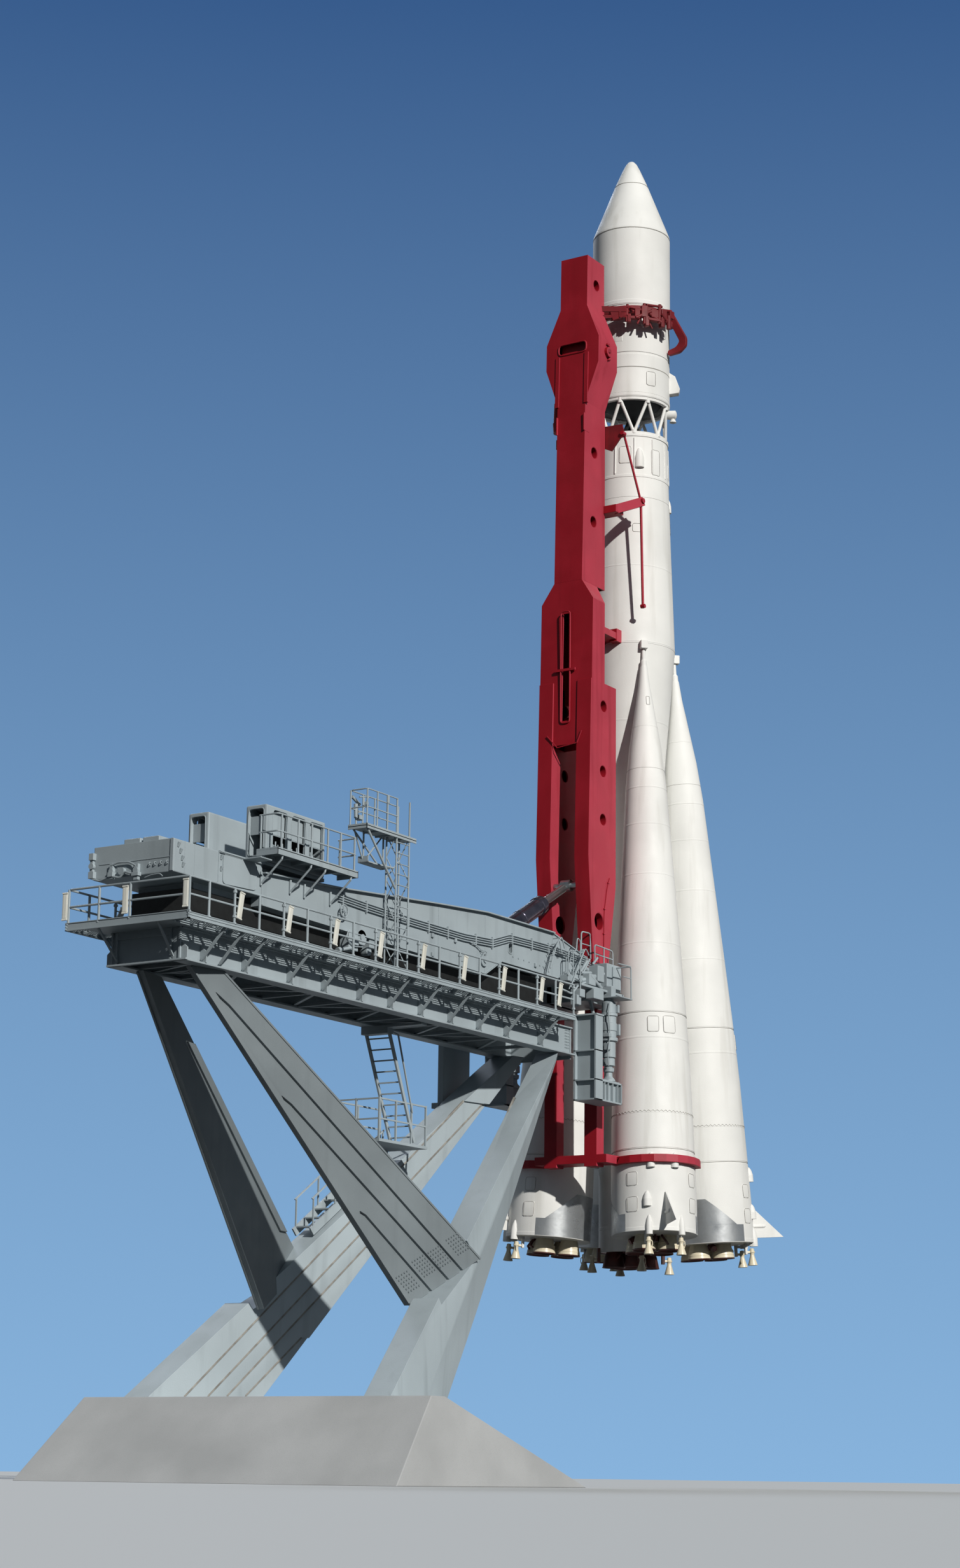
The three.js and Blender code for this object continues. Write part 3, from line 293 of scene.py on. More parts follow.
def span_matrix(start, end, width, depth):
    """Sets a unit body along a span, its width level and its depth across that"""
    a, b = Vector(start), Vector(end)
    along = (b - a).normalized()
    upright = Vector((0, 1, 0)) if abs(along.z) > 0.99 else UP
    side = upright.cross(along).normalized()
    rise = along.cross(side)
    axes = Matrix((side * width, rise * depth, along * (b - a).length)).transposed().to_4x4()
    return Matrix.Translation((a + b) / 2) @ axes


def bars(name, spans, sides=10):
    """Round bars, each a (start, end, radius)"""
    return spread(name, model_bar(sides), [span_matrix(a, b, r, r) for a, b, r in spans])


def beams(name, spans):
    """Square bars, each a (start, end, width, depth)"""
    return spread(name, model_cube(), [span_matrix(*span) for span in spans])


def around(middle, half):
    """Limits each side of a middle"""
    return (middle - half, middle + half)


def block_matrix(*limits):
    """Sets a unit cube between its limits along X, Y and Z"""
    size = [high - low for low, high in limits]
    centre = [(low + high) / 2 for low, high in limits]
    return Matrix.Translation(centre) @ Matrix.Diagonal((*size, 1))


def blocks(name, boxes, edge=0.008):
    """Boxes with eased edges, each given by its limits along X, Y and Z"""
    piece = spread(name, model_cube(), [block_matrix(*box) for box in boxes])
    return bevelled(piece, edge) if edge else piece


def bevelled(piece, width, segments=2, angle=40):
    pick(piece)
    bpy.ops.object.modifier_add(type="BEVEL")
    bevel = piece.modifiers[-1]
    bevel.width = width
    bevel.segments = segments
    bevel.limit_method = "ANGLE"
    bevel.angle_limit = math.radians(angle)
    bpy.ops.object.modifier_apply(modifier=bevel.name)
    return piece


def refined(name, node, width, segments=2):
    """A CAD solid's own shape with its facets merged and its edges eased"""
    piece = bpy.data.objects.new(name, frame["nodes"][node].data.copy())
    bpy.context.scene.collection.objects.link(piece)
    edit_all(piece)
    bpy.ops.mesh.remove_doubles(threshold=0.00002)
    bpy.ops.mesh.dissolve_limited(angle_limit=math.radians(0.5))
    leave_edit()
    if width:
        bevelled(piece, width * SCALE, segments, 25)
    return piece


def settle(piece, slot, material=None, body=LAUNCHER, place=TO_FRAME, replaces=(), angle=14):
    """Puts a finished piece in the frame, paints it and hangs it on its body"""
    piece.data.transform(place)
    pick(piece)
    bpy.ops.object.shade_smooth_by_angle(angle=math.radians(angle))
    piece.data.materials.clear()
    piece.data.materials.append(bpy.data.materials[material or FINISHES[slot]])
    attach(piece, body)
    if replaces:
        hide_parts(*replaces)
    return piece


def cut_out(piece, cutters, place=TO_FRAME):
    """Takes each cutter's shape, moved by a matrix, out of a piece"""
    for cutter in cutters:
        cutter.data.transform(place)
        pick(piece)
        bpy.ops.object.modifier_add(type="BOOLEAN")
        hole = piece.modifiers[-1]
        hole.operation = "DIFFERENCE"
        hole.solver = "EXACT"
        hole.object = cutter
        bpy.ops.object.modifier_apply(modifier=hole.name)
        bpy.data.objects.remove(cutter)
    return piece


def rounded(places, reach, steps=4):
    """A line of places whose corners are eased by short curves"""
    line = [Vector(place) for place in places]
    eased = [line[0]]
    for before, corner, after in zip(line, line[1:], line[2:]):
        start = corner + (before - corner).normalized() * reach
        end = corner + (after - corner).normalized() * reach
        for step in range(steps + 1):
            share = step / steps
            eased.append(start.lerp(corner, share).lerp(corner.lerp(end, share), share))
    return eased + [line[-1]]


def ringed_by(corners):
    """The closed line through corners, from the middle of its last side"""
    start = mid(corners[-1], corners[0])
    return [start, *corners, start]


def rim(name, corners, reach, radius, sides=8):
    """A bead round an opening with eased corners"""
    return tube(name, rounded(ringed_by(corners), reach), radius, sides)


def eased(corners, reach, steps=4):
    """A closed outline through corners, each eased by a short curve"""
    return rounded(ringed_by(corners), reach, steps)[:-1]


def opening(corners, reach, depth):
    """A body that cuts an opening with eased corners"""
    return prism("opening", eased(corners, reach), depth)


def on_side(y, places):
    """Places in a plane of set Y from (x, z)"""
    return [(x, y, z) for x, z in places]


def on_end(x, places):
    """Places in a plane of set X from (y, z)"""
    return [(x, y, z) for y, z in places]


def box_corners(a, b):
    """Corners of an upright rectangle from its two limits each way"""
    return [(a[0], b[0]), (a[1], b[0]), (a[1], b[1]), (a[0], b[1])]


def height_on(line, x):
    """Height of a falling or rising line of (x, z) at x"""
    spans = [(a, b) for a, b in zip(line, line[1:]) if min(a[0], b[0]) <= x <= max(a[0], b[0])]
    (x0, z0), (x1, z1) = spans[0]
    return z0 + (z1 - z0) * (x - x0) / (x1 - x0)


def mirrored(pieces):
    """Adds the far side's twins to near-side pieces"""
    return pieces + [copy_at(piece, MIRROR) for piece in pieces]


def twin(piece, name):
    """The far side's mirror image of a piece, under its own name"""
    far = copy_at(piece, MIRROR)
    far.name = name
    return far


def handrail(plan, posts, low, high, radius):
    """Two runs of tube with eased corners over a plan of (x, y), with round posts on small feet"""
    levels = ((low + high) / 2, high)
    runs = [tube("run", rounded([(x, y, z) for x, y in plan], 0.1), radius, 8) for z in levels]
    uprights = bars("posts", [((x, y, low - 0.02), (x, y, high), radius * 1.15) for x, y in posts], 8)
    feet = bars("feet", [((x, y, low - 0.02), (x, y, low + 0.02), radius * 2) for x, y in posts], 8)
    return [*runs, uprights, feet]


# Profiles


def radius_at(outline, height):
    for (low, start), (high, end) in zip(outline, outline[1:]):
        if low <= height <= high:
            return start + (end - start) * (height - low) / (high - low)
    return outline[-1][1]


def ringed(outline, bands):
    """An outline of (height, radius) with a ridge or groove at each band of (height, half width, step)"""
    rows = list(outline)
    for height, half, step in bands:
        for offset, lift in ((-1.3, 0), (-1, step), (1, step), (1.3, 0)):
            place = height + offset * half
            rows.append((place, radius_at(outline, place) + lift))
    return sorted(rows)


# Finishes

# How a pattern stretches along X, Y and Z: long down a wall for rain, short along a rod for turning marks
RAIN_STRETCH = (1.0, 1.0, 0.07)
TURNING_STRETCH = (1.0, 1.0, 6.0)


def add(tree, kind, inputs=None, **settings):
    """Adds a node, sets its properties, and fills its sockets with values or with other nodes' outputs"""
    made = tree.nodes.new(kind)
    for key, value in settings.items():
        setattr(made, key, value)
    for socket, value in (inputs or {}).items():
        if isinstance(value, bpy.types.NodeSocket):
            tree.links.new(value, made.inputs[socket])
        else:
            made.inputs[socket].default_value = value
    return made


def opaque(colour):
    return (*colour, 1)


def shade(colour, factor):
    return tuple(min(1, channel * factor) for channel in colour)


def surface(name, roughness, metallic=0.0):
    """A material with a shader of set gloss, its tree and its shader"""
    made = bpy.data.materials.new(name)
    made.use_nodes = True
    tree = made.node_tree
    shader = tree.nodes["Principled BSDF"]
    shader.inputs["Roughness"].default_value = roughness
    shader.inputs["Metallic"].default_value = metallic
    return made, tree, shader


def noise(tree, coords, scale, detail=3.0, stretch=(1, 1, 1)):
    """Noise over object coordinates, scale in features a metre, stretched along an axis"""
    mapping = add(tree, "ShaderNodeMapping", {"Vector": coords, "Scale": stretch})
    return add(tree, "ShaderNodeTexNoise", {
        "Vector": mapping.outputs["Vector"], "Scale": scale, "Detail": detail}).outputs["Fac"]


def band(tree, value, low, high, bottom=0.0, top=1.0):
    """Spreads a value between low and high over bottom to top"""
    return add(tree, "ShaderNodeMapRange", {
        "Value": value, "From Min": low, "From Max": high, "To Min": bottom, "To Max": top}).outputs["Result"]


def mixed(tree, factor, first, second):
    """Colour between two, by a factor"""
    node = add(tree, "ShaderNodeMix", {0: factor}, data_type="RGBA")
    for socket, value in ((6, first), (7, second)):
        if isinstance(value, bpy.types.NodeSocket):
            tree.links.new(value, node.inputs[socket])
        else:
            node.inputs[socket].default_value = opaque(value)
    return node.outputs[2]


def bump(tree, shader, height, strength, distance):
    node = add(tree, "ShaderNodeBump", {"Height": height, "Strength": strength, "Distance": distance})
    tree.links.new(node.outputs["Normal"], shader.inputs["Normal"])


def painted(name, colour, worn, streak, roughness, patch_scale, grain, sunlit_colour=None, specular=0.5):
    """Air-dried paint: patches of a worn shade, streaks that rain left, and a fine brushed grain"""
    made, tree, shader = surface(name, roughness)
    shader.inputs["Specular IOR Level"].default_value = specular
    texture = add(tree, "ShaderNodeTexCoord")
    coords = texture.outputs["Object"]
    patches = band(tree, noise(tree, coords, patch_scale, 5.0), 0.42, 0.68)
    base = mixed(tree, patches, colour, worn)
    # On faces that turn toward +Y, where the key light falls, a lighter chalk-pale colour is painted in:
    # partly sun-bleached paint, partly painted sunlight and sheen
    if sunlit_colour:
        sunny = add(tree, "ShaderNodeSeparateXYZ", {"Vector": texture.outputs["Normal"]}).outputs["Y"]
        chalk_and_sunlight = mixed(tree, patches, sunlit_colour, shade(sunlit_colour, 1.13))
        base = mixed(tree, band(tree, sunny, 0.35, 0.8), base, chalk_and_sunlight)
    streaks = noise(tree, coords, 5.0, 4.0, RAIN_STRETCH)
    base = mixed(tree, band(tree, streaks, 0.54, 0.8, 0.0, 0.55), base, streak)
    tree.links.new(base, shader.inputs["Base Color"])
    dull = band(tree, noise(tree, coords, 3.0), 0.3, 0.7, roughness - 0.06, roughness + 0.1)
    tree.links.new(dull, shader.inputs["Roughness"])
    bump(tree, shader, noise(tree, coords, grain, 4.0), 0.12, 0.01)


def stained(name, gloss, clouds, first, second, grain):
    """Two colours in clouds of (scale, detail, low, high), over a grain of (scale, strength, height)"""
    made, tree, shader = surface(name, *gloss)
    coords = add(tree, "ShaderNodeTexCoord").outputs["Object"]
    scale, detail, low, high = clouds
    stain = band(tree, noise(tree, coords, scale, detail), low, high)
    tree.links.new(mixed(tree, stain, first, second), shader.inputs["Base Color"])
    scale, strength, height = grain
    bump(tree, shader, noise(tree, coords, scale), strength, height)


def make_paints(colours):
    """Each coat: colour, worn shade and streaks, then roughness, patches and grain, then the lighter colour
    painted as sunlight on its faces toward +Y
    """
    white, grey = colours.white, colours.grey

    # Aircraft-type enamel over riveted sheet, weathered to a satin with faint grey rain marks
    painted("white_enamel", white, shade(white, 0.9), linear("#C9C7C0"), 0.55, 0.9, 60.0, specular=0.35)

    # Brushed alkyd on welded plate: deep wine red, with a chalk-pale pink painted on the faces toward +Y and
    # the key light, partly sun bleaching and partly painted sunlight and sheen
    painted("red_alkyd_paint", colours.red, linear("#9A1524"), linear("#7A0A16"), 0.5, 1.6, 45.0,
            linear("#B03A4A"), 0.3)

    # The erector's red, darkened, on the clasps, jaws and arm plates, with near-black streaks and no lighter
    # sunlit side: painted shade for parts that lie in their own shadow
    painted("shaded_red_paint", linear("#6A0A14"), linear("#8A1420"), linear("#2A0408"), 0.6, 2.2, 45.0)

    # Grey machinery paint on rolled plate, with cloudy fading, thin run marks, and a lighter chalk-pale grey
    # painted on the faces toward +Y and the key light, partly sun bleaching and partly painted sunlight
    painted("grey_machine_paint", grey, shade(grey, 1.12), shade(grey, 0.78), 0.55, 1.3, 50.0,
            shade(grey, 1.42))

    # The same machinery paint on the braces, darker all over as painted shade, with chalk runs
    painted("shaded_grey_paint", shade(grey, 0.72), shade(grey, 0.85), shade(grey, 0.6), 0.6, 0.9, 50.0)

    # The machinery paint on the leg frames, paler all over as painted light, thinly rolled over plate, with
    # long wash marks, and a still lighter grey painted on the faces toward +Y and the key light
    painted("pale_grey_paint", shade(grey, 1.32), shade(grey, 1.5), shade(grey, 1.12), 0.6, 0.7, 50.0,
            shade(grey, 1.6))

    # Baked white enamel on the lamps' sheet trays, yellowed and dusty, brighter than the paint round it
    painted("lamp_enamel", linear("#E6E6DE"), linear("#DAD9CE"), linear("#C6C4B8"), 0.4, 3.0, 60.0)


def make_stained(colours):
    """Metals, enamel and sealant whose colour drifts in clouds"""
    # Sealant and shade in the joints between sheets, and the shadows painted under the legs' lap steps: a
    # dull line, darker than the paint but never glossy
    stained("joint_sealant_and_shadow", (0.8, 0), (9.0, 3.0, 0.3, 0.7), linear("#7C7974"), linear("#A5A29B"),
            (80.0, 0.1, 0.002))

    # Blued barrel of the lifting cylinder: dark glossy violet steel that mirrors the sky
    stained("blued_barrel_steel", (0.22, 0.85), (5.0, 4.0, 0.35, 0.7), linear("#4E4E5C"), linear("#6E6A78"),
            (60.0, 0.05, 0.002))

    # Nickel alloy that red lead paint and heat have turned brown, matt and slightly metallic
    stained("heat_stained_alloy", (0.55, 0.35), (6.0, 5.0, 0.35, 0.7), colours.engine, linear("#5C2B26"),
            (40.0, 0.15, 0.005))

    # Stoved enamel, glossy, gone yellow near the hot ends
    stained("cream_stove_enamel", (0.35, 0), (5.0, 4.0, 0.45, 0.75), colours.cream, linear("#D8CDB6"),
            (70.0, 0.08, 0.003))

    # Oily machinery steel, near black, dull and lumpy: partly its own colour, partly painted shade for the
    # places that no light reaches, such as inside the transporter and the cabs
    stained("oily_steel_and_shade", (0.8, 0), (8.0, 4.0, 0.4, 0.7), colours.inside_shade, linear("#16191A"),
            (20.0, 0.2, 0.01))


def make_bright_steel(colours):
    # Ground and greased steel, with fine turning marks round the rods
    made, tree, shader = surface("ground_steel", 0.3, 0.9)
    coords = add(tree, "ShaderNodeTexCoord").outputs["Object"]
    marks = noise(tree, coords, 30.0, 3.0, TURNING_STRETCH)
    base = mixed(tree, band(tree, marks, 0.3, 0.7), colours.steel, shade(colours.steel, 0.72))
    tree.links.new(base, shader.inputs["Base Color"])
    bump(tree, shader, marks, 0.1, 0.002)


def make_bare_aluminium(colours):
    # Rolled sheet left bare: hand-rubbed, mottled, with bright and dull clouds
    made, tree, shader = surface("rolled_aluminium", 0.32, 0.75)
    coords = add(tree, "ShaderNodeTexCoord").outputs["Object"]
    clouds = noise(tree, coords, 4.0, 6.0)
    bright, dull = shade(colours.aluminium, 1.1), shade(colours.aluminium, 0.7)
    tree.links.new(mixed(tree, band(tree, clouds, 0.35, 0.65), bright, dull), shader.inputs["Base Color"])
    tree.links.new(band(tree, clouds, 0.3, 0.7, 0.22, 0.5), shader.inputs["Roughness"])
    bump(tree, shader, noise(tree, coords, 12.0, 4.0), 0.12, 0.01)


def make_plinth_stone(colours):
    # Sawn slabs of pale artificial stone: fine grit and faint damp marks
    made, tree, shader = surface("sawn_artificial_stone", 0.85)
    coords = add(tree, "ShaderNodeTexCoord").outputs["Object"]
    cloud = band(tree, noise(tree, coords, 0.8, 5.0), 0.35, 0.7)
    base = mixed(tree, cloud, colours.stone, linear("#A6A8A9"))
    grit = noise(tree, coords, 90.0, 2.0)
    base = mixed(tree, band(tree, grit, 0.5, 0.75, 0.0, 0.3), base, linear("#939596"))
    tree.links.new(base, shader.inputs["Base Color"])
    bump(tree, shader, grit, 0.2, 0.004)


class ROCKET_OT_finishes(bpy.types.Operator):
    """Makes the paints and metals"""

    bl_idname = "rocket.finishes"
    bl_label = "Finishes"

    def execute(self, context):
        colours = context.scene.rocket_colours
        for make in (make_paints, make_stained, make_bright_steel, make_bare_aluminium, make_plinth_stone):
            make(colours)
        for node, piece in frame["nodes"].items():
            piece.data.materials.clear()
            slot = next(part["material_slot"] for part in frame["record"]["subparts"] if part["node"] == node)
            piece.data.materials.append(bpy.data.materials[FINISHES[slot]])
        return {"FINISHED"}


def soft_sky():
    """Plain blue backdrop for the camera, and a soft dome of light that is dim below the horizon"""
    world = bpy.data.worlds.new("soft_studio")
    world.use_nodes = True
    tree = world.node_tree
    tree.nodes.clear()
    direction = add(tree, "ShaderNodeTexCoord").outputs["Generated"]
    height = add(tree, "ShaderNodeSeparateXYZ", {"Vector": direction}).outputs["Z"]
    seen = mixed(tree, band(tree, height, 0.0, 0.55), linear("#88B3DC"), linear("#113F78"))
    dome = mixed(tree, band(tree, height, -0.06, 0.06), linear("#3A3E42"), linear("#C3D2E2"))
    lit = add(tree, "ShaderNodeBackground", {"Color": dome, "Strength": 0.22})
    backdrop = add(tree, "ShaderNodeBackground", {"Color": seen, "Strength": 1.0})
    choice = add(tree, "ShaderNodeMixShader", {
        0: add(tree, "ShaderNodeLightPath").outputs["Is Camera Ray"],
        1: lit.outputs[0], 2: backdrop.outputs[0]})
    add(tree, "ShaderNodeOutputWorld", {"Surface": choice.outputs[0]})
    return world


# Camera fitted to the photograph: place, yaw, pitch and roll in degrees, lens and sensor in millimetres
CAMERA_PLACE = (82.61, 46.54, 0.247)
CAMERA_TURN = (212.43, 13.303, 0.735)
LENS, SENSOR, SIGHT = 67.28, 36, 1000


class ROCKET_OT_stage(bpy.types.Operator):
    """Sets the floor, the soft light and the camera at the photograph's low viewpoint"""

    bl_idname = "rocket.stage"
    bl_label = "Stage"

    def execute(self, context):
        scene = context.scene
        sizes = scene.rocket_sizes
        bpy.ops.object.select_all(action="DESELECT")
        bpy.ops.mesh.primitive_plane_add(size=900)
        floor = named("studio_floor")
        finish, tree, shader = surface("studio_floor", 0.9)
        shader.inputs["Base Color"].default_value = opaque(linear("#C9CBCB"))
        floor.data.materials.append(finish)

        floor.visible_diffuse = False
        scene.world = soft_sky()
        opposite = sizes.sun_azimuth + math.radians(175)
        for name, energy, spread_angle, colour, height, azimuth in (
                ("key_light", 3.35, 1.2, "#FFFCF6", sizes.sun_height, sizes.sun_azimuth),
                ("fill_light", 0.9, 20.0, "#E4EEFF", math.radians(35), opposite)):
            bpy.ops.object.light_add(type="SUN")
            lamp = bpy.context.object
            lamp.name = name
            lamp.data.energy = energy
            lamp.data.angle = math.radians(spread_angle)
            lamp.data.color = linear(colour)
            lamp.rotation_euler = (math.pi / 2 - height, 0, azimuth + math.pi / 2)

        yaw, pitch, roll = [math.radians(angle) for angle in CAMERA_TURN]
        forward = Vector((math.cos(pitch) * math.cos(yaw), math.cos(pitch) * math.sin(yaw), math.sin(pitch)))
        right = Vector((math.sin(yaw), -math.cos(yaw), 0))
        up = right.cross(forward)
        leaned = math.cos(roll) * right + math.sin(roll) * up
        raised = math.cos(roll) * up - math.sin(roll) * right
        bpy.ops.object.camera_add()
        camera = bpy.context.object
        camera.name = "camera"
        axes = Matrix((leaned, raised, -forward)).transposed().to_4x4()
        camera.matrix_world = Matrix.Translation(TO_FRAME @ Vector(CAMERA_PLACE)) @ axes
        camera.data.sensor_width = SENSOR
        camera.data.sensor_fit = "AUTO"
        camera.data.lens = LENS
        camera.data.clip_end = SIGHT
        scene.camera = camera
        scene.view_settings.view_transform = "Standard"
        return {"FINISHED"}


# Rocket


FAIRING = [(31.6, 1.329), (34.44, 1.329), (34.52, 1.31), (36.5, 0.55), (37.08, 0.3), (37.3, 0.19),
           (37.4, 0.1), (37.44, 0)]
THIRD_STAGE = [(28.28, 1.31), (31.59, 1.31)]
CORE = [(-0.35, 1.03), (14.6, 1.03), (19.59, 1.464), (20.19, 1.445), (22.39, 1.365), (24.69, 1.285),
        (26.95, 1.235)]
BOOSTER = [(0, 1.34), (1.2, 1.34), (3.1, 1.294), (5.2, 1.233), (7.3, 1.129), (9.4, 1.0), (11.6, 0.857),
           (13.7, 0.723), (14.6, 0.665), (15.9, 0.53), (18.1, 0.19), (18.75, 0.12)]


def blister(name, length, width, height):
    """A half-bullet cover: round nose up, square foot down, its back against X = 0"""
    rows = [(0, width), (length * 0.45, width), (length * 0.75, width * 0.72), (length * 0.93, width * 0.36),
            (length, 0)]
    piece = turned(name, [(0, 0)] + rows, 20)
    piece.data.transform(Matrix.Diagonal((height / width, 1, 1, 1)))
    return piece


# Cover plates on the skins, each (azimuth, height, width, tall). The core and the stage have joints
# round their first few only. A plate's back lies in the skin and its face outside.
BOOSTER_PLATES = ((14, 6.5, 0.42, 0.55), (-12, 6.5, 0.36, 0.5), (150, 6.5, 0.42, 0.55), (8, 17.5, 0.12, 0.3),
                  (46, 0.83, 0.38, 0.46), (-46, 0.83, 0.38, 0.46), (46, 1.62, 0.36, 0.42),
                  (-46, 1.62, 0.36, 0.42))
CORE_PLATES = ((20, 26.2, 0.4, 0.6), (70, 26.0, 0.35, 0.9), (118, 24.2, 0.25, 0.9), (112, 25.9, 0.3, 0.5),
               (200, 26.2, 0.4, 0.6), (300, 26.2, 0.4, 0.6))
STAGE_PLATES = ((50, 31.0, 0.5, 0.4), (85, 30.7, 0.3, 0.3), (60, 28.95, 0.35, 0.5), (10, 30.5, 0.3, 0.5),
                (240, 31.0, 0.5, 0.4))
JOINTED = 3
PLATE_X = (-0.05, 0.005)


def hatch(width, tall):
    """A thin cover plate with rounded corners, lying on X = 0"""
    box = block_matrix(PLATE_X, around(0, width / 2), around(0, tall / 2))
    return bevelled(spread("hatch", model_cube(), [box]), min(width, tall) * 0.2, 4)


def on_skin(outline, azimuth, height):
    """Place on a skin, X pointing out, leaned as the skin leans there"""
    step = 0.05
    slope = (radius_at(outline, height + step) - radius_at(outline, height - step)) / (2 * step)
    lean = Matrix.Rotation(math.atan(slope), 4, "Y")
    return turn(azimuth) @ shift(radius_at(outline, height), 0, height) @ lean


def plates_on(outline, plates):
    made = []
    for azimuth, height, width, tall in plates:
        made += copies(hatch(width, tall), [on_skin(outline, azimuth, height)])
    return made


# Y of a booster's two steering pods, and height of its rudder's shaft
POD_Y, SHAFT_Z = 0.52, 0.55


def booster_skin():
    """White skin of a booster with its rings, tip, covers and pods, on its own axis"""
    bands = [(2.55, 0.03, -0.012), (3.7, 0.02, 0.004), (6.1, 0.025, 0.006), (6.9, 0.03, -0.01),
             (9.2, 0.02, 0.004), (11.5, 0.02, 0.004), (13.2, 0.02, 0.004), (14.45, 0.02, 0.006),
             (16.6, 0.015, 0.004), (0.06, 0.05, 0.006)]
    outer = ringed(BOOSTER, bands)
    skin = turned("skin", [*outer, (18.8, 0), (16.0, 0), (0.16, 1.3), (0.0, 1.3), outer[0]], SKIN_ROUND)
    tip = turned("tip", [(18.6, 0), (18.6, 0.11), (18.95, 0.1), (19.0, 0.06), (19.34, 0.06), (19.35, 0)], 24)
    return joined("booster_skin", [skin, tip, *booster_covers(), *plates_on(BOOSTER, BOOSTER_PLATES)])


def booster_covers():
    """Three small covers, the two steering pods on their brackets, and the boss round the rudder's shaft"""
    spots = [on_skin(BOOSTER, azimuth, height) for azimuth, height in ((-25, 0.75), (14, 1.95), (-19, 1.95))]
    covers = copies(blister("cover", 0.48, 0.13, 0.13), spots)
    pods = copies(blister("pod", 0.62, 0.11, 0.13), [shift(1.22, side * POD_Y, -0.12) for side in SIDES])
    brackets = [(x, around(side * POD_Y, 0.07), z) for side in SIDES
                for x, z in (((0.9, 0.975), (-0.37, 0)), ((0.9, 1.26), (-0.1, -0.02)))]
    boss = bars("boss", [((1.2, 0, SHAFT_Z), (1.368, 0, SHAFT_Z), 0.09)], 20)
    return [*covers, *pods, blocks("brackets", brackets, 0.012), boss]


def ring_line(outline, height, thickness=0.008):
    """A thin dark joint round a skin"""
    radius, top = radius_at(outline, height) + 0.003, height + thickness
    rows = [(height, radius - 0.02), (height, radius), (top, radius), (top, radius - 0.02)]
    return turned("joint", [*rows, rows[0]], SKIN_ROUND)


def hatch_line(outline, azimuth, height, width, tall):
    """The dark joint round a cover plate"""
    corners = on_end(0.006, box_corners(around(0, width / 2), around(0, tall / 2)))
    line = rim("hatch_joint", corners, min(width, tall) * 0.22, 0.0045, 6)
    line.data.transform(on_skin(outline, azimuth, height))
    return line


def zigzag_line(outline, height, rise, teeth):
    """The toothed joint where one sheet laps another"""
    radius = radius_at(outline, height) + 0.004
    places = [polar(radius, 180 * step / teeth, height + rise * (step % 2)) for step in range(teeth * 2 + 1)]
    return tube("zigzag", places, 0.007, 6)


def booster_lines():
    rings = [ring_line(BOOSTER, height) for height in (2.55, 6.1, 6.9, 9.2, 11.5, 14.45, 15.1, 16.6)]
    plates = [hatch_line(BOOSTER, *plate) for plate in BOOSTER_PLATES]
    return joined("joints", [*rings, zigzag_line(BOOSTER, 3.7, 0.05, 60), *plates])


# Bare sheet on a skirt: a low strip, then one that rises on a slant, each by its heights and cutting plane
PATCHES = ((0.02, 0.56, (0.72, 0, 0), (1, 0, 0)), (0.56, 1.39, (0.46, 0, 0.56), (0.83, 0, 1.26)))


def skirt_patch():
    """Bare sheet round the inner part of a booster's skirt"""
    parts = []
    for low, high, place, normal in PATCHES:
        rows = [(low, 1.349), (high, 1.344), (high, 1.332), (low, 1.332), (low, 1.349)]
        part = turned("skirt_patch", rows, FINE_ROUND)
        edit_all(part)
        bpy.ops.mesh.bisect(plane_co=place, plane_no=normal, clear_outer=True)
        leave_edit()
        parts.append(part)
    return joined("skirt_patch", parts)


# A thrust chamber and its cream coat from the exit up, as (height, radius), and the places of a feed pipe, as
# distances out and across and drop below the bulkhead
BELL = ((0.0, 0.368), (0.03, 0.37), (0.032, 0.358), (0.08, 0.352), (0.2, 0.325), (0.36, 0.29), (0.55, 0.242))
COAT = ((0.034, 0.364), (0.12, 0.35), (0.125, 0.357), (0.14, 0.355), (0.145, 0.345), (0.23, 0.327),
        (0.235, 0.34), (0.255, 0.336), (0.26, 0.316), (0.36, 0.295), (0.5, 0.26))
FEED = ((0.4, 0.1, 0), (0.52, 0.12, 0.12), (0.6, 0.2, 0.26), (0.52, 0.28, 0.34))
BELL_OUT = 0.4
BOOSTER_EXIT, BOOSTER_BULKHEAD, BOOSTER_INWARD = -0.48, 0.03, -0.2
CORE_EXIT, CORE_BULKHEAD = -0.82, -0.32


def chamber_places(inward):
    return [shift(inward + x * BELL_OUT, y * BELL_OUT, 0) for x in SIDES for y in SIDES]


def chamber_group(reach, bulkhead, exit_height, inward=0.0):
    """Four thrust chambers, their pipes and the bulkhead they hang from"""
    top, cap = bulkhead + 0.1, bulkhead + 0.03
    floor_plate = turned("bulkhead", [(bulkhead, 0), (bulkhead, reach), (top, reach), (top, 0)], 48)
    outside = [(exit_height + z, r) for z, r in BELL if exit_height + z < bulkhead]
    inside = [(z, r - 0.02) for z, r in reversed(outside[:6])]
    bell = turned("bell", [*outside, (cap, 0.22), (cap, 0)], 40)
    throat = turned("throat", [*inside, outside[0]], 40)
    bells = spread("bells", joined("bell", [bell, throat]), chamber_places(inward))
    feeds = [tube("feed", [(x * out, y * across, bulkhead - drop) for out, across, drop in FEED], 0.035, 8)
             for x in SIDES for y in SIDES]
    turbine = turned("turbine", [(bulkhead - 0.2, 0), (bulkhead - 0.2, 0.14), (bulkhead + 0.02, 0.2),
                                 (bulkhead + 0.05, 0)], 24)
    exhaust = bars("exhaust", [((inward, -0.4, bulkhead), (inward, -0.74, bulkhead - 0.2), 0.1)], 20)
    return joined("chambers", [floor_plate, bells, *feeds, turbine, exhaust])


def chamber_coats(exit_height, bulkhead, inward):
    """Cream outside of four thrust chambers, with raised rings"""
    outside = [(exit_height + z, r) for z, r in COAT if exit_height + z < bulkhead]
    inside = [(z, r - 0.012) for z, r in reversed(outside)]
    return spread("coats", turned("coats", [*outside, *inside, outside[0]], 40), chamber_places(inward))


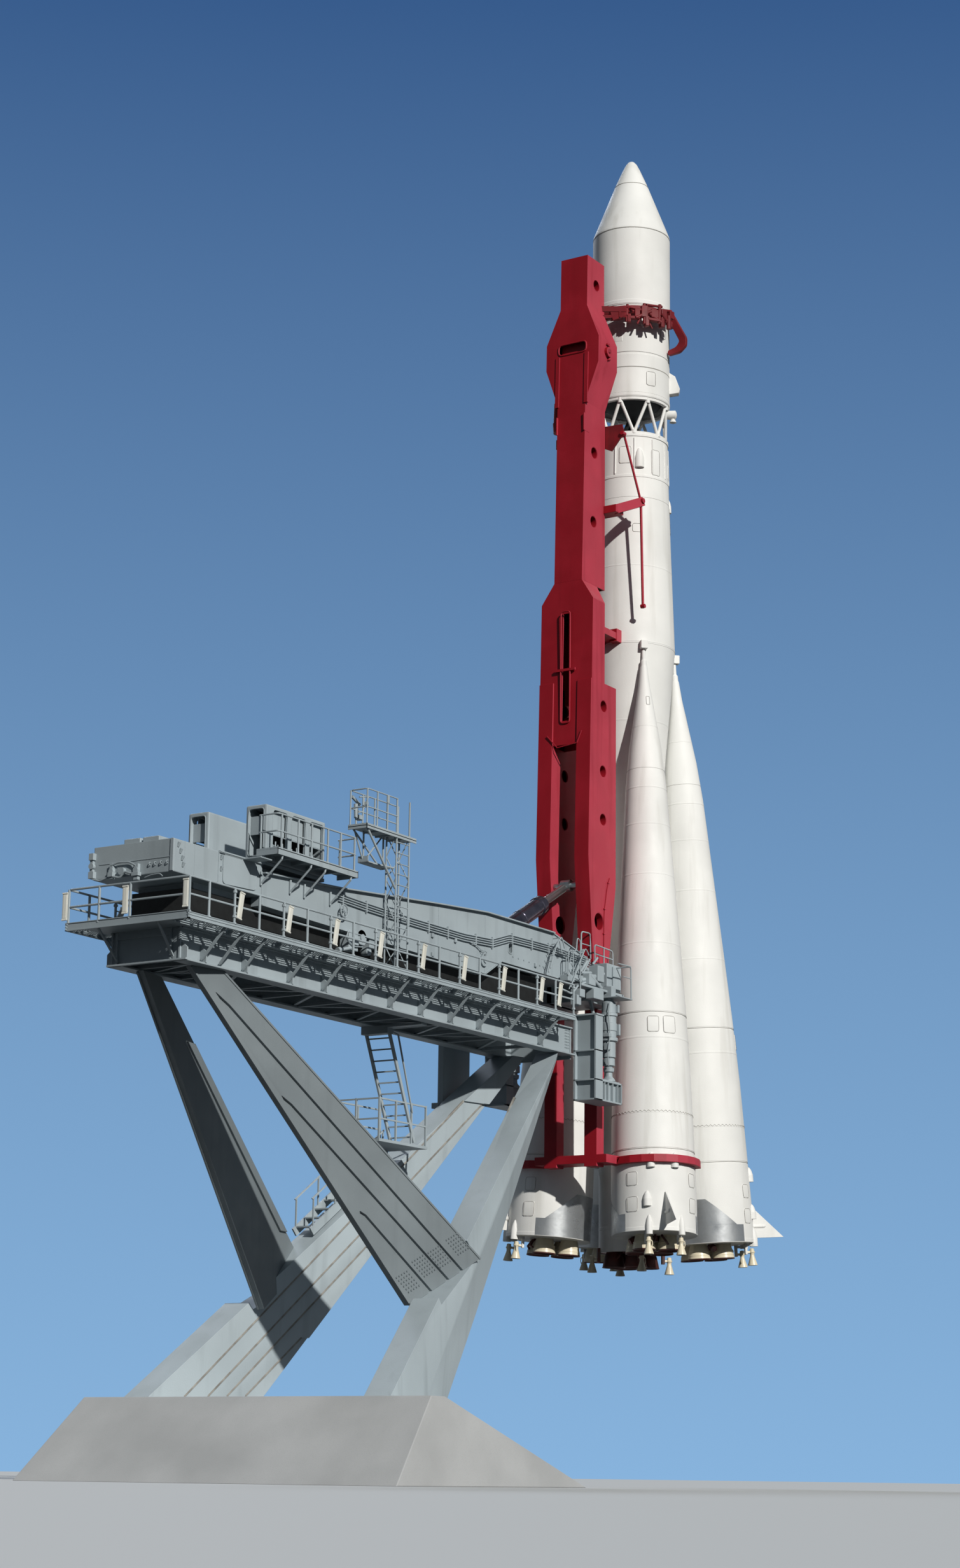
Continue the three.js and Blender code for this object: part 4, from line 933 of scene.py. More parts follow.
def steering_chamber():
    """A small cream chamber on a pin along X, its pivot at the origin"""
    bell = turned("bell", [(0.12, 0), (0.12, 0.05), (0.1, 0.07), (0.04, 0.075), (-0.04, 0.075),
                           (-0.08, 0.066), (-0.12, 0.07), (-0.24, 0.105), (-0.39, 0.152), (-0.42, 0.155),
                           (-0.42, 0.14), (-0.38, 0.135), (-0.2, 0.08), (-0.15, 0)], 32)
    collar = turned("collar", [(-0.02, 0.07), (-0.02, 0.095), (0.02, 0.095), (0.02, 0.07), (-0.02, 0.07)], 24)
    pin = bars("pin", [((0, 0, 0), (-0.158, 0, 0), 0.04)], 16)
    line = [(0.0, 0.07, 0.02), (0.02, 0.11, -0.02), (0.02, 0.115, -0.12), (0.01, 0.095, -0.2)]
    return joined("steering", [bell, collar, pin, tube("feed", line, 0.014, 8)])


def rudder():
    """White delta rudder with thin edges and its shaft housing"""
    root = 1.375
    blade = prism("blade", on_side(-0.03, [(root, 0.18), (2.42, 0.18), (root, 1.2)]), (0, 0.06, 0))
    for corner in blade.data.vertices:
        if corner.co.x > 2:
            corner.co.y *= 0.25
    blade = bevelled(blade, 0.006, 2, 30)
    housing = bars("housing", [((root, 0, SHAFT_Z), (root + 0.36, 0, SHAFT_Z), 0.065)], 20)
    nose = turned("nose", [(0, 0.065), (0.06, 0.055), (0.11, 0.02), (0.12, 0)], 20)
    nose.data.transform(shift(root + 0.355, 0, SHAFT_Z) @ turn(90, "Y"))
    return joined("rudder", [blade, housing, nose])


class ROCKET_OT_boosters(bpy.types.Operator):
    """Models the four strap-on boosters with their chambers and rudders"""

    bl_idname = "rocket.boosters"
    bl_label = "Boosters"

    def execute(self, context):
        chambers = chamber_group(1.3, BOOSTER_BULKHEAD, BOOSTER_EXIT, BOOSTER_INWARD)
        coats = chamber_coats(BOOSTER_EXIT, BOOSTER_BULKHEAD, BOOSTER_INWARD)
        models = {
            "skin": (booster_skin(), "rocket_white", None, "body", LAUNCHER),
            "patch": (skirt_patch(), "bright_steel", "rolled_aluminium", None, LAUNCHER),
            "chambers": (chambers, "engine_metal", None, "engine", LAUNCHER),
            "coats": (coats, "chamber_cream", None, None, LAUNCHER),
            "joints": (booster_lines(), "engine_metal", "joint_sealant_and_shadow", None, LAUNCHER),
            "rudder": (rudder(), "rocket_white", None, "fin", "fin"),
        }
        steering = steering_chamber()
        for number, azimuth in enumerate(BOOSTER_AZIMUTHS, 1):
            place = on_booster(azimuth)
            stem = f"booster_{number}"
            for word, (model, slot, finish, node, body) in models.items():
                piece = copy_at(model, HERE)
                piece.name = f"{stem}_{word}"
                own_body = LAUNCHER if body == LAUNCHER else f"{stem}_{body}"
                settle(piece, slot, finish, own_body, place, (f"{stem}_{node}",) if node else ())
            for j, side in enumerate(SIDES, 1):
                piece = copy_at(steering, shift(1.14, side * POD_Y, -0.3))
                node = f"{stem}_vernier_{j}"
                piece.name = f"{stem}_steering_{j}"
                settle(piece, "chamber_cream", None, node, place, (node,))
        for model in (steering, *[row[0] for row in models.values()]):
            bpy.data.objects.remove(model)
        return {"FINISHED"}


# Azimuths of the roll pods and the wedges over them, and of the truss's first node, with the step to the next
ROLL_AZIMUTHS = (119, 299)
TRUSS_AZIMUTH, TRUSS_STEP = 33.75, 45


def core_skin():
    """White skin of the core with its rings, stringers, booster seats, covers and plates"""
    bands = [(0.4, 0.04, 0.006), (19.6, 0.03, 0.01), (25.46, 0.04, 0.014), (22.3, 0.02, 0.004),
             (17.0, 0.02, 0.004)]
    outer = ringed(CORE, bands)
    outer[-1] = (26.87, 1.237)
    top = [(26.87, 1.262), (26.95, 1.262), (26.95, 0)]
    skin = turned("core", [(-0.2, 0.99), (-0.35, 0.99), *outer, *top], FINE_ROUND)
    strips = []
    for azimuth in range(4, 360, 30):
        foot, head = [polar(radius_at(CORE, height) + 0.008, azimuth, height) for height in (25.55, 26.8)]
        strips.append((foot, head, 0.045, 0.03))
    turns = [turn(azimuth) for azimuth in BOOSTER_AZIMUTHS]
    seats = copies(blocks("seat", [((1.38, 1.66), (-0.12, 0.12), (19.331, 19.62))], 0.02), turns)
    lugs = [((0.88, 1.33), around(side * 0.44, 0.05), (2.36, 2.54)) for side in SIDES]
    seats += copies(blocks("lugs", lugs, 0.012), turns)
    covers = []
    for azimuth, height, length, width in (
            (42, 25.75, 0.72, 0.16), (222, 25.75, 0.72, 0.16), (130, 24.6, 0.5, 0.12)):
        covers += copies(blister("cover", length, width, width * 0.8), [on_skin(CORE, azimuth, height)])
    stringers = beams("stringers", strips)
    return joined("core_skin", [skin, stringers, *seats, *covers, *plates_on(CORE, CORE_PLATES)])


def third_stage_skin():
    """White skin of the upper stage with its rings, wedges, plates and raceway"""
    bands = [(29.84, 0.035, -0.02), (28.36, 0.05, 0.01), (30.9, 0.015, 0.004), (31.45, 0.02, 0.006)]
    outer = ringed(THIRD_STAGE, bands)
    skin = turned("stage", [(28.5, 1.27), (28.28, 1.27), *outer, (31.59, 0)], FINE_ROUND)
    outline = on_side(-0.16, [(1.28, 28.75), (1.62, 28.8), (1.66, 28.95), (1.5, 29.4), (1.28, 29.55)])
    wedge = bevelled(prism("wedge", outline, (0, 0.32, 0)), 0.02)
    wedges = copies(wedge, [turn(azimuth) for azimuth in ROLL_AZIMUTHS])
    raceway = copies(blocks("raceway", [((1.28, 1.37), (-0.09, 0.09), (28.5, 30.9))], 0.02), [turn(-8)])
    return joined("third_stage_skin", [skin, *wedges, *plates_on(THIRD_STAGE, STAGE_PLATES), *raceway])


def truss_tubes():
    """Open truss between core and upper stage: its tubes, end rings, nodes and roll pods"""
    spans, nodes = [], []
    for index in range(8):
        azimuth = TRUSS_AZIMUTH + index * TRUSS_STEP
        before, after = azimuth - TRUSS_STEP / 2, azimuth + TRUSS_STEP / 2
        spans += [(polar(1.165, azimuth, 27.01), polar(1.22, end, 28.22), 0.055) for end in (before, after)]
        spans.append((polar(1.22, before, 28.2), polar(1.22, azimuth - 8, 28.22), 0.035))
        nodes.append((polar(1.16, azimuth, 26.98), polar(1.16, azimuth, 27.1), 0.1))
        nodes.append((polar(1.22, before, 28.08), polar(1.22, before, 28.26), 0.085))
    rings = [turned("ring", [(z, r), (z + 0.09, r), (z + 0.09, r - 0.12), (z, r - 0.12), (z, r)], SKIN_ROUND)
             for z, r in ((26.96, 1.235), (28.18, 1.29))]
    pod = turned("pod", [(-0.02, 0), (0, 0.15), (0.3, 0.16), (0.34, 0.1), (0.36, 0)], 28)
    pods = copies(pod, [turn(azimuth) @ shift(1.2, 0, 28.05) @ turn(90, "Y") for azimuth in ROLL_AZIMUTHS])
    nozzle = turned("nozzle", [(0, 0), (0, 0.05), (-0.06, 0.06), (-0.2, 0.12), (-0.2, 0.1), (-0.1, 0.04),
                               (-0.1, 0)], 24)
    pods += copies(nozzle, [turn(azimuth) @ shift(1.42, 0, 27.98) for azimuth in ROLL_AZIMUTHS])
    return joined("interstage_tubes", [bars("tubes", spans, 14), *rings, bars("hubs", nodes, 16), *pods])


def third_stage_motor():
    return turned("third_stage_motor", [
        (29.1, 0), (29.1, 1.27), (28.75, 1.27), (28.55, 1.16), (28.3, 0.93), (28.12, 0.62), (28.02, 0.45),
        (27.95, 0.2), (27.88, 0.17), (27.8, 0.16), (27.7, 0.2), (27.5, 0.28), (27.25, 0.36), (27.25, 0.34),
        (27.5, 0.25), (27.7, 0.15), (27.75, 0)])


def core_joints():
    """Dark joints round the core's, the stage's and the fairing's rings and cover plates"""
    lines = [ring_line(CORE, height) for height in (17.0, 22.3, 24.7, 25.44)]
    lines += [ring_line(THIRD_STAGE, height) for height in (28.42, 30.9)]
    lines += [ring_line(THIRD_STAGE, 29.32, 0.03)]
    lines += [ring_line(FAIRING, height, 0.014) for height in (34.4, 36.4)]
    lines += [hatch_line(CORE, *plate) for plate in (*CORE_PLATES[:JOINTED], (38, 23.6, 0.3, 0.3))]
    lines += [hatch_line(THIRD_STAGE, *plate) for plate in STAGE_PLATES[:JOINTED]]
    return joined("core_joints", lines)


def fairing_shell():
    outer = ringed(FAIRING, [(31.7, 0.06, 0.012), (34.4, 0.02, -0.008), (36.4, 0.015, -0.006)])
    return turned("fairing_shell", [(31.601, 1.29), *outer], FINE_ROUND)


def core_chambers():
    """The core's thrust chambers, with a lug for each steering chamber"""
    lug = blocks("lug", [((1.02, 1.118), (-0.07, 0.07), (-0.66, -0.2)),
                         ((0.7, 1.1), (-0.07, 0.07), (-0.31, -0.25))], 0.01)
    lugs = copies(lug, [turn(azimuth) for azimuth in BOOSTER_AZIMUTHS])
    return joined("core_chambers", [chamber_group(0.99, CORE_BULKHEAD, CORE_EXIT), *lugs])


class ROCKET_OT_core(bpy.types.Operator):
    """Models the core, the upper stage, the open truss between them and the fairing"""

    bl_idname = "rocket.core"
    bl_label = "Core and upper stage"

    def execute(self, context):
        for build, slot, finish, nodes in (
                (core_skin, "rocket_white", None, ("core_stage",)),
                (third_stage_skin, "rocket_white", None, ("third_stage",)),
                (truss_tubes, "rocket_white", None, ("interstage_truss",)),
                (third_stage_motor, "engine_metal", "oily_steel_and_shade", ("third_stage_engine",)),
                (core_joints, "engine_metal", "joint_sealant_and_shadow", ()),
                (fairing_shell, "rocket_white", None, ("payload_fairing",)),
                (core_chambers, "engine_metal", None, ("core_engine",))):
            settle(build(), slot, finish, place=TO_ROCKET, replaces=nodes)
        steering = steering_chamber()
        for number, azimuth in enumerate(BOOSTER_AZIMUTHS, 1):
            piece = copy_at(steering, turn(azimuth) @ shift(1.28, 0, -0.56))
            piece.name = f"core_steering_{number}"
            node = f"core_vernier_{number}"
            settle(piece, "chamber_cream", None, node, TO_ROCKET, (node,))
        bpy.data.objects.remove(steering)
        return {"FINISHED"}


# Plate work that keeps the solids' own shape, with eased edges: (node, slot, finish, bevel)
PLATE_WORK = (
    ("boom_mast", "erector_red", None, 0.012),
    ("boom_lower", "erector_red", None, 0.012),
    ("core_pad_arm", "erector_red", None, 0.012),
    ("lower_frame", "erector_red", None, 0.012),
    ("transporter_frame", "platform_grey", None, 0.012),
    ("rear_box", "platform_grey", None, 0.025),
    ("cabin_base", "platform_grey", None, 0.01),
    # The leg frames take the paler copy of the grey, as painted light, and the braces the darker copy, as
    # painted shade
    ("leg_near", "platform_grey", "pale_grey_paint", 0.02),
    ("leg_far", "platform_grey", "pale_grey_paint", 0.02),
    ("brace_near", "platform_grey", "shaded_grey_paint", 0.02),
    ("brace_far", "platform_grey", "shaded_grey_paint", 0.02),
    ("running_gear", "engine_metal", "oily_steel_and_shade", 0.02),
    ("plinth", "plinth_concrete", None, 0.02),
)


class ROCKET_OT_plate_work(bpy.types.Operator):
    """Eases the edges of the boom, transporter, platform, legs and plinth"""

    bl_idname = "rocket.plate_work"
    bl_label = "Plate work"

    def execute(self, context):
        for node, slot, finish, width in PLATE_WORK:
            piece = refined(f"{node}_plating", node, width)
            settle(piece, slot, finish, place=Matrix.Identity(4), replaces=(node,))
        return {"FINISHED"}


# Deck railing: places of its posts and lamps along X, and across the rear
POST_XS = [7.0 + index * 1.063 for index in range(18)]
LAMP_XS = [x - 0.19 for index, x in enumerate(POST_XS) if index == 1 or (index and index % 2 == 0)]
REAR_X, RAIL_Y, DECK_TOP, RAIL_TOP = 25.88, 1.95, 13.84, 14.78
REAR_POSTS = (1.95, 0.06, -0.95, -1.95)
REAR_LAMPS = (1.86, -0.08, -2.05)


def lamp_box():
    """A tall flat lamp: a tray with a sunk pale lens and two end caps"""
    tray = blocks("tray", [((-0.09, 0.09), (-0.03, 0.012), (-0.36, 0.36))], 0.012)
    lens = blocks("lens", [((-0.06, 0.06), (0.0, 0.02), (-0.31, 0.31))], 0.01)
    caps = blocks("caps", [((-0.09, 0.09), (-0.02, 0.028), (side * 0.345 - 0.02, side * 0.345 + 0.02))
                           for side in SIDES], 0.006)
    return joined("lamp", [tray, lens, caps])


class ROCKET_OT_railings(bpy.types.Operator):
    """Models the round deck railing and its upright lamps"""

    bl_idname = "rocket.railings"
    bl_label = "Deck railing and lamps"

    def execute(self, context):
        radius = context.scene.rocket_sizes.rail_radius
        posts = [(x, side * RAIL_Y) for x in POST_XS for side in SIDES] + [(REAR_X, y) for y in REAR_POSTS]
        plan = [(7.0, RAIL_Y), (REAR_X, RAIL_Y), (REAR_X, -RAIL_Y), (7.0, -RAIL_Y)]
        pieces = handrail(plan, posts, DECK_TOP + 0.03, RAIL_TOP, radius)
        sleeves = [((x, side * RAIL_Y, z), (x, side * RAIL_Y, z + 0.06), radius * 1.9)
                   for x in POST_XS[::2] for side in SIDES for z in (14.02, 14.66)]
        pieces.append(bars("sleeves", sleeves, 8))
        arms = [((x, side * RAIL_Y, z), (x + 0.19, side * RAIL_Y, z), 0.018)
                for x in LAMP_XS for side in SIDES for z in (14.15, 14.55)]
        pieces.append(bars("arms", arms, 6))
        settle(joined("deck_rails", pieces), "platform_grey", replaces=("deck_railing",))
        tilt = math.degrees(math.atan(0.07 / 0.4))
        places = [shift(x, side * (RAIL_Y + 0.055), 14.35) @ turn(-tilt, "Y") @ turn(0 if side > 0 else 180)
                  @ turn(0 if side > 0 else 2 * tilt, "Y") for x in LAMP_XS for side in SIDES]
        places += [shift(REAR_X + 0.03, y, 14.35) @ turn(-90) for y in REAR_LAMPS]
        settle(spread("deck_lamps", lamp_box(), places), "rocket_white", "lamp_enamel")
        return {"FINISHED"}


# Stiffeners of the girders along X, and the outline of one, as (distance out from the web, height)
STATIONS = (7.66, 9.6, 11.12, 12.65, 14.2, 15.74, 17.25, 18.93, 20.5, 22.5, 23.5, 24.25)
STIFFENER = ((0.03, 12.88), (0.245, 12.88), (0.245, 13.16), (0.05, 13.32), (0.03, 13.32))
GIRDER_X, GIRDER_Y, WEB_Z, SOLE_Z = (5.72, 25.1), 1.05, (12.85, 13.72), (12.83, 12.88)
DECK_X, DECK_UNDER, GRATING_Y = (6.94, 25.94), 13.7, 1.36


def girder_work():
    """Webs, flanges, stiffeners with slanted heads, and struts with flattened ends"""
    pieces = []
    start, end = GIRDER_X
    for side in SIDES:
        y = side * GIRDER_Y
        plates = [(GIRDER_X, around(y, 0.04), WEB_Z), (GIRDER_X, around(y, 0.22), SOLE_Z),
                  (GIRDER_X, around(y, 0.12), (13.66, DECK_UNDER))]
        pieces.append(blocks("girder", plates, 0.006))
        for x in (*STATIONS[:-2], 24.25, 25.04):
            outline = on_end(x - 0.025, [(side * (GIRDER_Y + out), z) for out, z in STIFFENER])
            pieces.append(prism("stiffener", outline, (0.05, 0, 0)))
        spans = []
        for x in [station + 0.08 for station in STATIONS]:
            spans.append(((x, side * 1.2, 12.93), (x, side * 1.93, 13.72), 0.07, 0.03))
            spans.append(((x, side * 1.21, 12.96), (x, side * 1.93, 13.74), 0.025, 0.075))
        pieces.append(beams("struts", spans))
        rivets = []
        for x, z in [(start + 0.05 + col * 0.09, 13.06 + row * 0.09) for row in range(8) for col in range(4)]:
            rivets.append(((x, side * (GIRDER_Y + 0.035), z), (x, side * (GIRDER_Y + 0.065), z), 0.022))
        pieces.append(bars("rivets", rivets, 6))
    cross = [((x, x + 0.08), (-GIRDER_Y, GIRDER_Y), (12.86, 12.96)) for x in STATIONS]
    cross += [((end - 0.06, end - 0.03), (-GIRDER_Y, GIRDER_Y), WEB_Z),
              ((end - 0.06, end + 0.04), (-1.25, 1.32), SOLE_Z),
              ((end - 0.03, end + 0.015), (-0.95, 0.8), (13.5, 13.7)),
              ((start, start + 0.06), (-1.12, 1.12), (12.72, 13.72)),
              ((6.96, 8.45), (-1.96, -1.77), (11.2, 13.72)), ((6.96, 8.75), (-1.98, -1.75), (11.05, 11.22))]
    cross += [(around(end, 0.03), around(y, 0.03), (12.88, 13.72)) for y in (-1.09, -0.95, 0.8, 1.09)]
    pieces.append(blocks("cross_work", cross, 0.008))
    braces = []
    for index, (x, far) in enumerate(zip(STATIONS, STATIONS[1:])):
        y = GIRDER_Y if index % 2 else -GIRDER_Y
        braces.append(((x + 0.04, y, 12.92), (far + 0.04, -y, 12.92), 0.1, 0.05))
        braces.append(((x + 0.04, -y, 13.55), (far + 0.04, y, 13.55), 0.08, 0.05))
    braces += [((25.86, y, 13.72), (25.12, y * 0.93, 12.94), 0.06, 0.04) for y in (0.96, -0.97)]
    pieces.append(beams("wind_braces", braces))
    return pieces


def flank(side, near, far):
    """Limits across on one side, from two distances off the middle"""
    return tuple(sorted((side * near, side * far)))


def deck_work():
    """The plated middle of the deck, its slatted walkways and the channel round its edge"""
    start, end = DECK_X
    plated, slat_top = (start, end - 0.04), DECK_TOP - 0.012
    boxes = [(plated, (-GRATING_Y, GRATING_Y), (DECK_UNDER, DECK_TOP))]
    lip = (DECK_UNDER, DECK_UNDER + 0.02)
    for side in SIDES:
        for y in [GRATING_Y + 0.06 + index * 0.094 for index in range(6)]:
            boxes.append((plated, flank(side, y, y + 0.03), (slat_top, DECK_TOP)))
        for x in [start + 0.05 + index * 0.531 for index in range(36)]:
            boxes.append(((x, x + 0.04), flank(side, GRATING_Y, 1.96), (DECK_UNDER + 0.03, slat_top)))
        boxes.append((DECK_X, flank(side, 1.965, 1.985), (DECK_UNDER + 0.01, DECK_TOP + 0.03)))
        for levels in (lip, (DECK_TOP - 0.055, DECK_TOP - 0.04), (DECK_TOP + 0.01, DECK_TOP + 0.03)):
            boxes.append((DECK_X, flank(side, 1.94, 2.0), levels))
    boxes.append(((end - 0.04, end - 0.02), (-2.0, 2.0), (DECK_UNDER + 0.01, DECK_TOP + 0.065)))
    for levels in (lip, (DECK_TOP + 0.05, DECK_TOP + 0.07)):
        boxes.append(((end - 0.07, end), (-2.0, 2.0), levels))
    return blocks("deck", boxes, 0)


class ROCKET_OT_platform(bpy.types.Operator):
    """Models the plate girders, their stiffeners and the deck with its slatted walkways"""

    bl_idname = "rocket.platform"
    bl_label = "Girder platform"

    def execute(self, context):
        girders = joined("platform_girders", [*girder_work(), deck_work()])
        settle(girders, "platform_grey", replaces=("platform",))
        return {"FINISHED"}


# Side of the transporter: its face, its upper and lower edges, a hole, and the low line of the pipes along it
SIDE_Y = 1.302
FRAME_EDGE = [(22.0, 15.6), (18.45, 15.81), (13.52, 16.21), (11.02, 16.39), (7.18, 16.4), (5.2, 15.95)]
FRAME_SOLE = [(22.0, 14.75), (10.98, 14.58), (10.1, 15.08), (5.2, 15.05)]
FRAME_HOLE, HOLE_CORNER = box_corners((9.5, 9.74), (15.38, 15.7)), 0.11
PIPE_LOW = [(18.57, 15.45), (17.08, 15.4), (14.84, 15.36), (12.2, 15.36), (10.67, 15.44), (9.73, 15.73),
            (8.45, 15.76), (7.14, 15.78), (4.95, 15.7)]
PIPE_CLAMPS = (18.37, 17.23, 16.2, 15.14, 14.1, 13.09, 11.59, 10.68, 9.58, 8.45, 7.48, 6.2, 5.2)
PIPE_STEP = 0.068


def pipe_run():
    """Four pipes side by side, clamped to the transporter's side"""
    pipes = []
    for row in range(4):
        line = on_side(1.345, [(x, z + row * PIPE_STEP) for x, z in PIPE_LOW])
        pipes.append(tube("pipe", rounded(line, 0.12), 0.02, 8))
    clamps = []
    for x in PIPE_CLAMPS:
        z = height_on(PIPE_LOW, x)
        clamps.append((around(x, 0.018), (1.29, 1.375), (z - 0.06, z + 0.27)))
    return [*pipes, blocks("clamps", clamps, 0.006)]


def handwheel():
    """A spoked wheel on a short shaft"""
    x, y, z, radius = 18.45, 1.46, 15.17, 0.17
    angles = [math.radians(15 * index) for index in range(25)]
    circle = [(x + radius * math.cos(angle), y, z + radius * math.sin(angle)) for angle in angles]
    spokes = [((x, y, z), place, 0.012) for place in circle[:-1:4]]
    hub = [((x, 1.28, z), (x, 1.5, z), 0.035), ((x, 1.44, z), (x, 1.48, z), 0.06)]
    return [tube("wheel", circle, 0.022, 8), bars("spokes", spokes, 6), bars("hub", hub)]


def frame_fittings():
    """Flanges, seams, rivets, bosses and the small gear on the transporter's side"""
    flanges = [((a[0], 1.16, a[1] + 0.004), (b[0], 1.16, b[1] + 0.004), 0.5, 0.035)
               for a, b in zip(FRAME_EDGE, FRAME_EDGE[1:-1])]
    flanges.append(((7.18, 1.14, 16.404), (5.2, 1.14, 15.954), 0.4, 0.035))
    flanges += [((a[0], 1.14, a[1]), (b[0], 1.14, b[1]), 0.38, 0.03)
                for a, b in zip(FRAME_SOLE, FRAME_SOLE[1:])]
    seams = []
    for x in (18.45, 15.9, 13.52, 11.02, 7.18):
        foot, head = height_on(FRAME_SOLE, x) + 0.02, height_on(FRAME_EDGE, x)
        seams.append(((x, SIDE_Y, foot), (x, SIDE_Y, head), 0.03, 0.012))
    rivets = []
    for x, z in [(9.47 - index * 0.31, 15.32 - index * 0.006) for index in range(7)]:
        rivets.append(((x, 1.29, z), (x, 1.325, z), 0.022))
    lumps = [(around(x, 0.05), (1.3, 1.36), around(z, 0.06))
             for x, z in ((13.87, 15.25), (12.66, 15.29), (13.86, 14.7), (11.12, 15.12), (8.2, 15.25))]
    loops = [tube("loop", rounded(on_side(1.36, line), 0.08), 0.014, 6) for line in (
        [(11.9, 15.36), (11.45, 15.3), (11.2, 15.1), (11.12, 14.8)],
        [(11.7, 15.36), (11.3, 15.22), (11.0, 15.22), (11.0, 14.9), (11.12, 14.8)])]
    boss = [((11.12, back, 14.95), (11.12, front, 14.95), radius)
            for back, front, radius in ((1.28, 1.36, 0.18), (1.3, 1.4, 0.08))]
    return [beams("flanges", flanges), beams("seams", seams), bars("rivets", rivets, 8),
            bars("boss", boss, 20), blocks("lumps", lumps, 0.012), *loops,
            rim("hole_rim", on_side(1.305, FRAME_HOLE), HOLE_CORNER, 0.016)]


def winch():
    """The winch that hangs below the transporter's side: block, drum and valve pipe"""
    drum = [((17.35, 1.02, 14.62), (17.35, 1.3, 14.62), 0.22),
            ((17.35, 1.26, 14.62), (17.35, 1.34, 14.62), 0.1),
            ((17.0, 1.1, 14.3), (17.0, 1.3, 14.3), 0.12), ((18.52, 1.34, 14.09), (17.9, 1.3, 14.25), 0.05),
            ((18.56, 1.34, 14.08), (18.46, 1.34, 14.11), 0.08)]
    boxes = [((17.55, 18.0), (1.0, 1.32), (14.2, 14.75)), ((17.6, 17.8), (1.3, 1.38), (14.35, 14.6)),
             ((16.6, 16.95), (1.0, 1.28), (14.4, 14.72))]
    hose = rounded(on_side(1.36, [(18.1, 14.7), (18.2, 14.45), (17.8, 14.3), (17.4, 14.35)]), 0.1)
    return [bars("drum", drum, 20), blocks("winch", boxes, 0.02), tube("hose", hose, 0.016)]


class ROCKET_OT_transporter(bpy.types.Operator):
    """Models the pipes, flanges and gear on the transporter's sides"""

    bl_idname = "rocket.transporter"
    bl_label = "Transporter fittings"

    def execute(self, context):
        near = joined("near", [*pipe_run(), *frame_fittings()])
        piece = joined("transporter_fittings", [*mirrored([near]), *handwheel(), *winch()])
        settle(piece, "platform_grey")
        hole = opening(on_side(1.15, FRAME_HOLE), HOLE_CORNER, (0, 0.3, 0))
        cut_out(bpy.data.objects["transporter_frame_plating"], [hole])
        return {"FINISHED"}


# Rear box: X of its end face and Y of its side
BOX_END, BOX_SIDE = 25.75, 1.3


def rear_gear():
    """Clamps, hoses, studs and grips on the box's end face, each set by how far it stands out from it"""
    boxes = [((BOX_END + back, BOX_END + front), y, z) for back, front, y, z in (
        (0, 0.1, (-0.69, -0.58), (14.95, 15.35)), (0, 0.1, (0.1, 0.24), (14.85, 15.27)),
        (0, 0.14, (-0.72, -0.55), (15.0, 15.12)), (0, 0.14, (0.06, 0.28), (14.95, 15.05)),
        (-0.15, 0.12, (-1.37, -1.2), (15.02, 15.2)), (-0.15, 0.12, (-1.37, -1.22), (15.5, 15.68)),
        (-0.1, 0.08, (-1.36, -1.26), (15.1, 15.6)), (0, 0.02, (-0.5, -0.02), (14.98, 15.3)),
        (0, 0.015, (-1.1, 1.2), (15.36, 15.39)), (0, 0.03, (1.2, 1.3), (15.0, 15.84)))]
    boxes.append(((22.1, 23.9), (1.3, 1.36), (15.82, 15.86)))
    studs = []
    for y in (0.57, 0.74, 0.93, 1.13):
        line = [(BOX_END + out, y, z) for out, z in ((0, 15.2), (0.06, 15.2), (0.06, 15.27), (0, 15.27))]
        studs.append(tube("stud", rounded(line, 0.02), 0.012, 6))
    hoses = [tube("hose", rounded(on_end(BOX_END + 0.09, line), 0.06), radius, 8) for line, radius in (
        ([(-0.63, 15.3), (-0.4, 15.36), (-0.05, 15.33), (0.16, 15.22)], 0.026),
        ([(-0.63, 15.02), (-0.35, 14.95), (-0.2, 15.1), (0.1, 15.0)], 0.03),
        ([(0.47, 14.88), (0.68, 14.93), (0.95, 14.94), (1.04, 14.86)], 0.016),
        ([(-1.25, 15.0), (-1.0, 14.93), (-0.75, 15.0)], 0.02))]
    wheels = [((BOX_END + 0.02, y, z), (BOX_END + 0.12, y, z), radius) for y, z, radius in (
        (-0.63, 15.15, 0.07), (0.17, 15.1, 0.08), (-0.3, 15.12, 0.1), (-1.29, 15.34, 0.08))]
    return [blocks("clasps", boxes, 0.012), *studs, *hoses, bars("wheels", wheels, 14)]


def box_side_gear():
    """Hinges, a rounded cover and a drip ledge on the box's long side"""
    cover = [(22.28, 15.08), (23.72, 15.02), (23.72, 15.8), (22.28, 15.8)]
    plate = prism("cover", eased(on_side(BOX_SIDE, cover), 0.14), (0, 0.02, 0))
    hinges = [((x, 1.29, z - 0.05), (x, 1.35, z + 0.05), 0.04) for x, z in (
        (25.59, 15.7), (25.5, 15.55), (25.42, 15.38), (25.38, 15.22), (23.8, 15.7), (23.8, 15.4))]
    seams = [((x, BOX_SIDE, 15.02), (x, BOX_SIDE, 15.84), width, depth)
             for x, width, depth in ((24.9, 0.02, 0.012), (25.3, 0.02, 0.012), (23.9, 0.03, 0.03))]
    seams.append(((22.05, 1.3, 15.82), (23.9, 1.32, 15.82), 0.05, 0.03))
    return [plate, bars("hinges", hinges, 8), beams("side_seams", seams),
            rim("cover_rim", on_side(1.322, cover), 0.14, 0.01, 6)]


class ROCKET_OT_rear_box(bpy.types.Operator):
    """Models the clasps, hoses, studs and covers on the transporter's rear box"""

    bl_idname = "rocket.rear_box"
    bl_label = "Rear box fittings"

    def execute(self, context):
        piece = joined("rear_box_fittings", [*rear_gear(), *mirrored(box_side_gear())])
        settle(piece, "platform_grey")
        return {"FINISHED"}


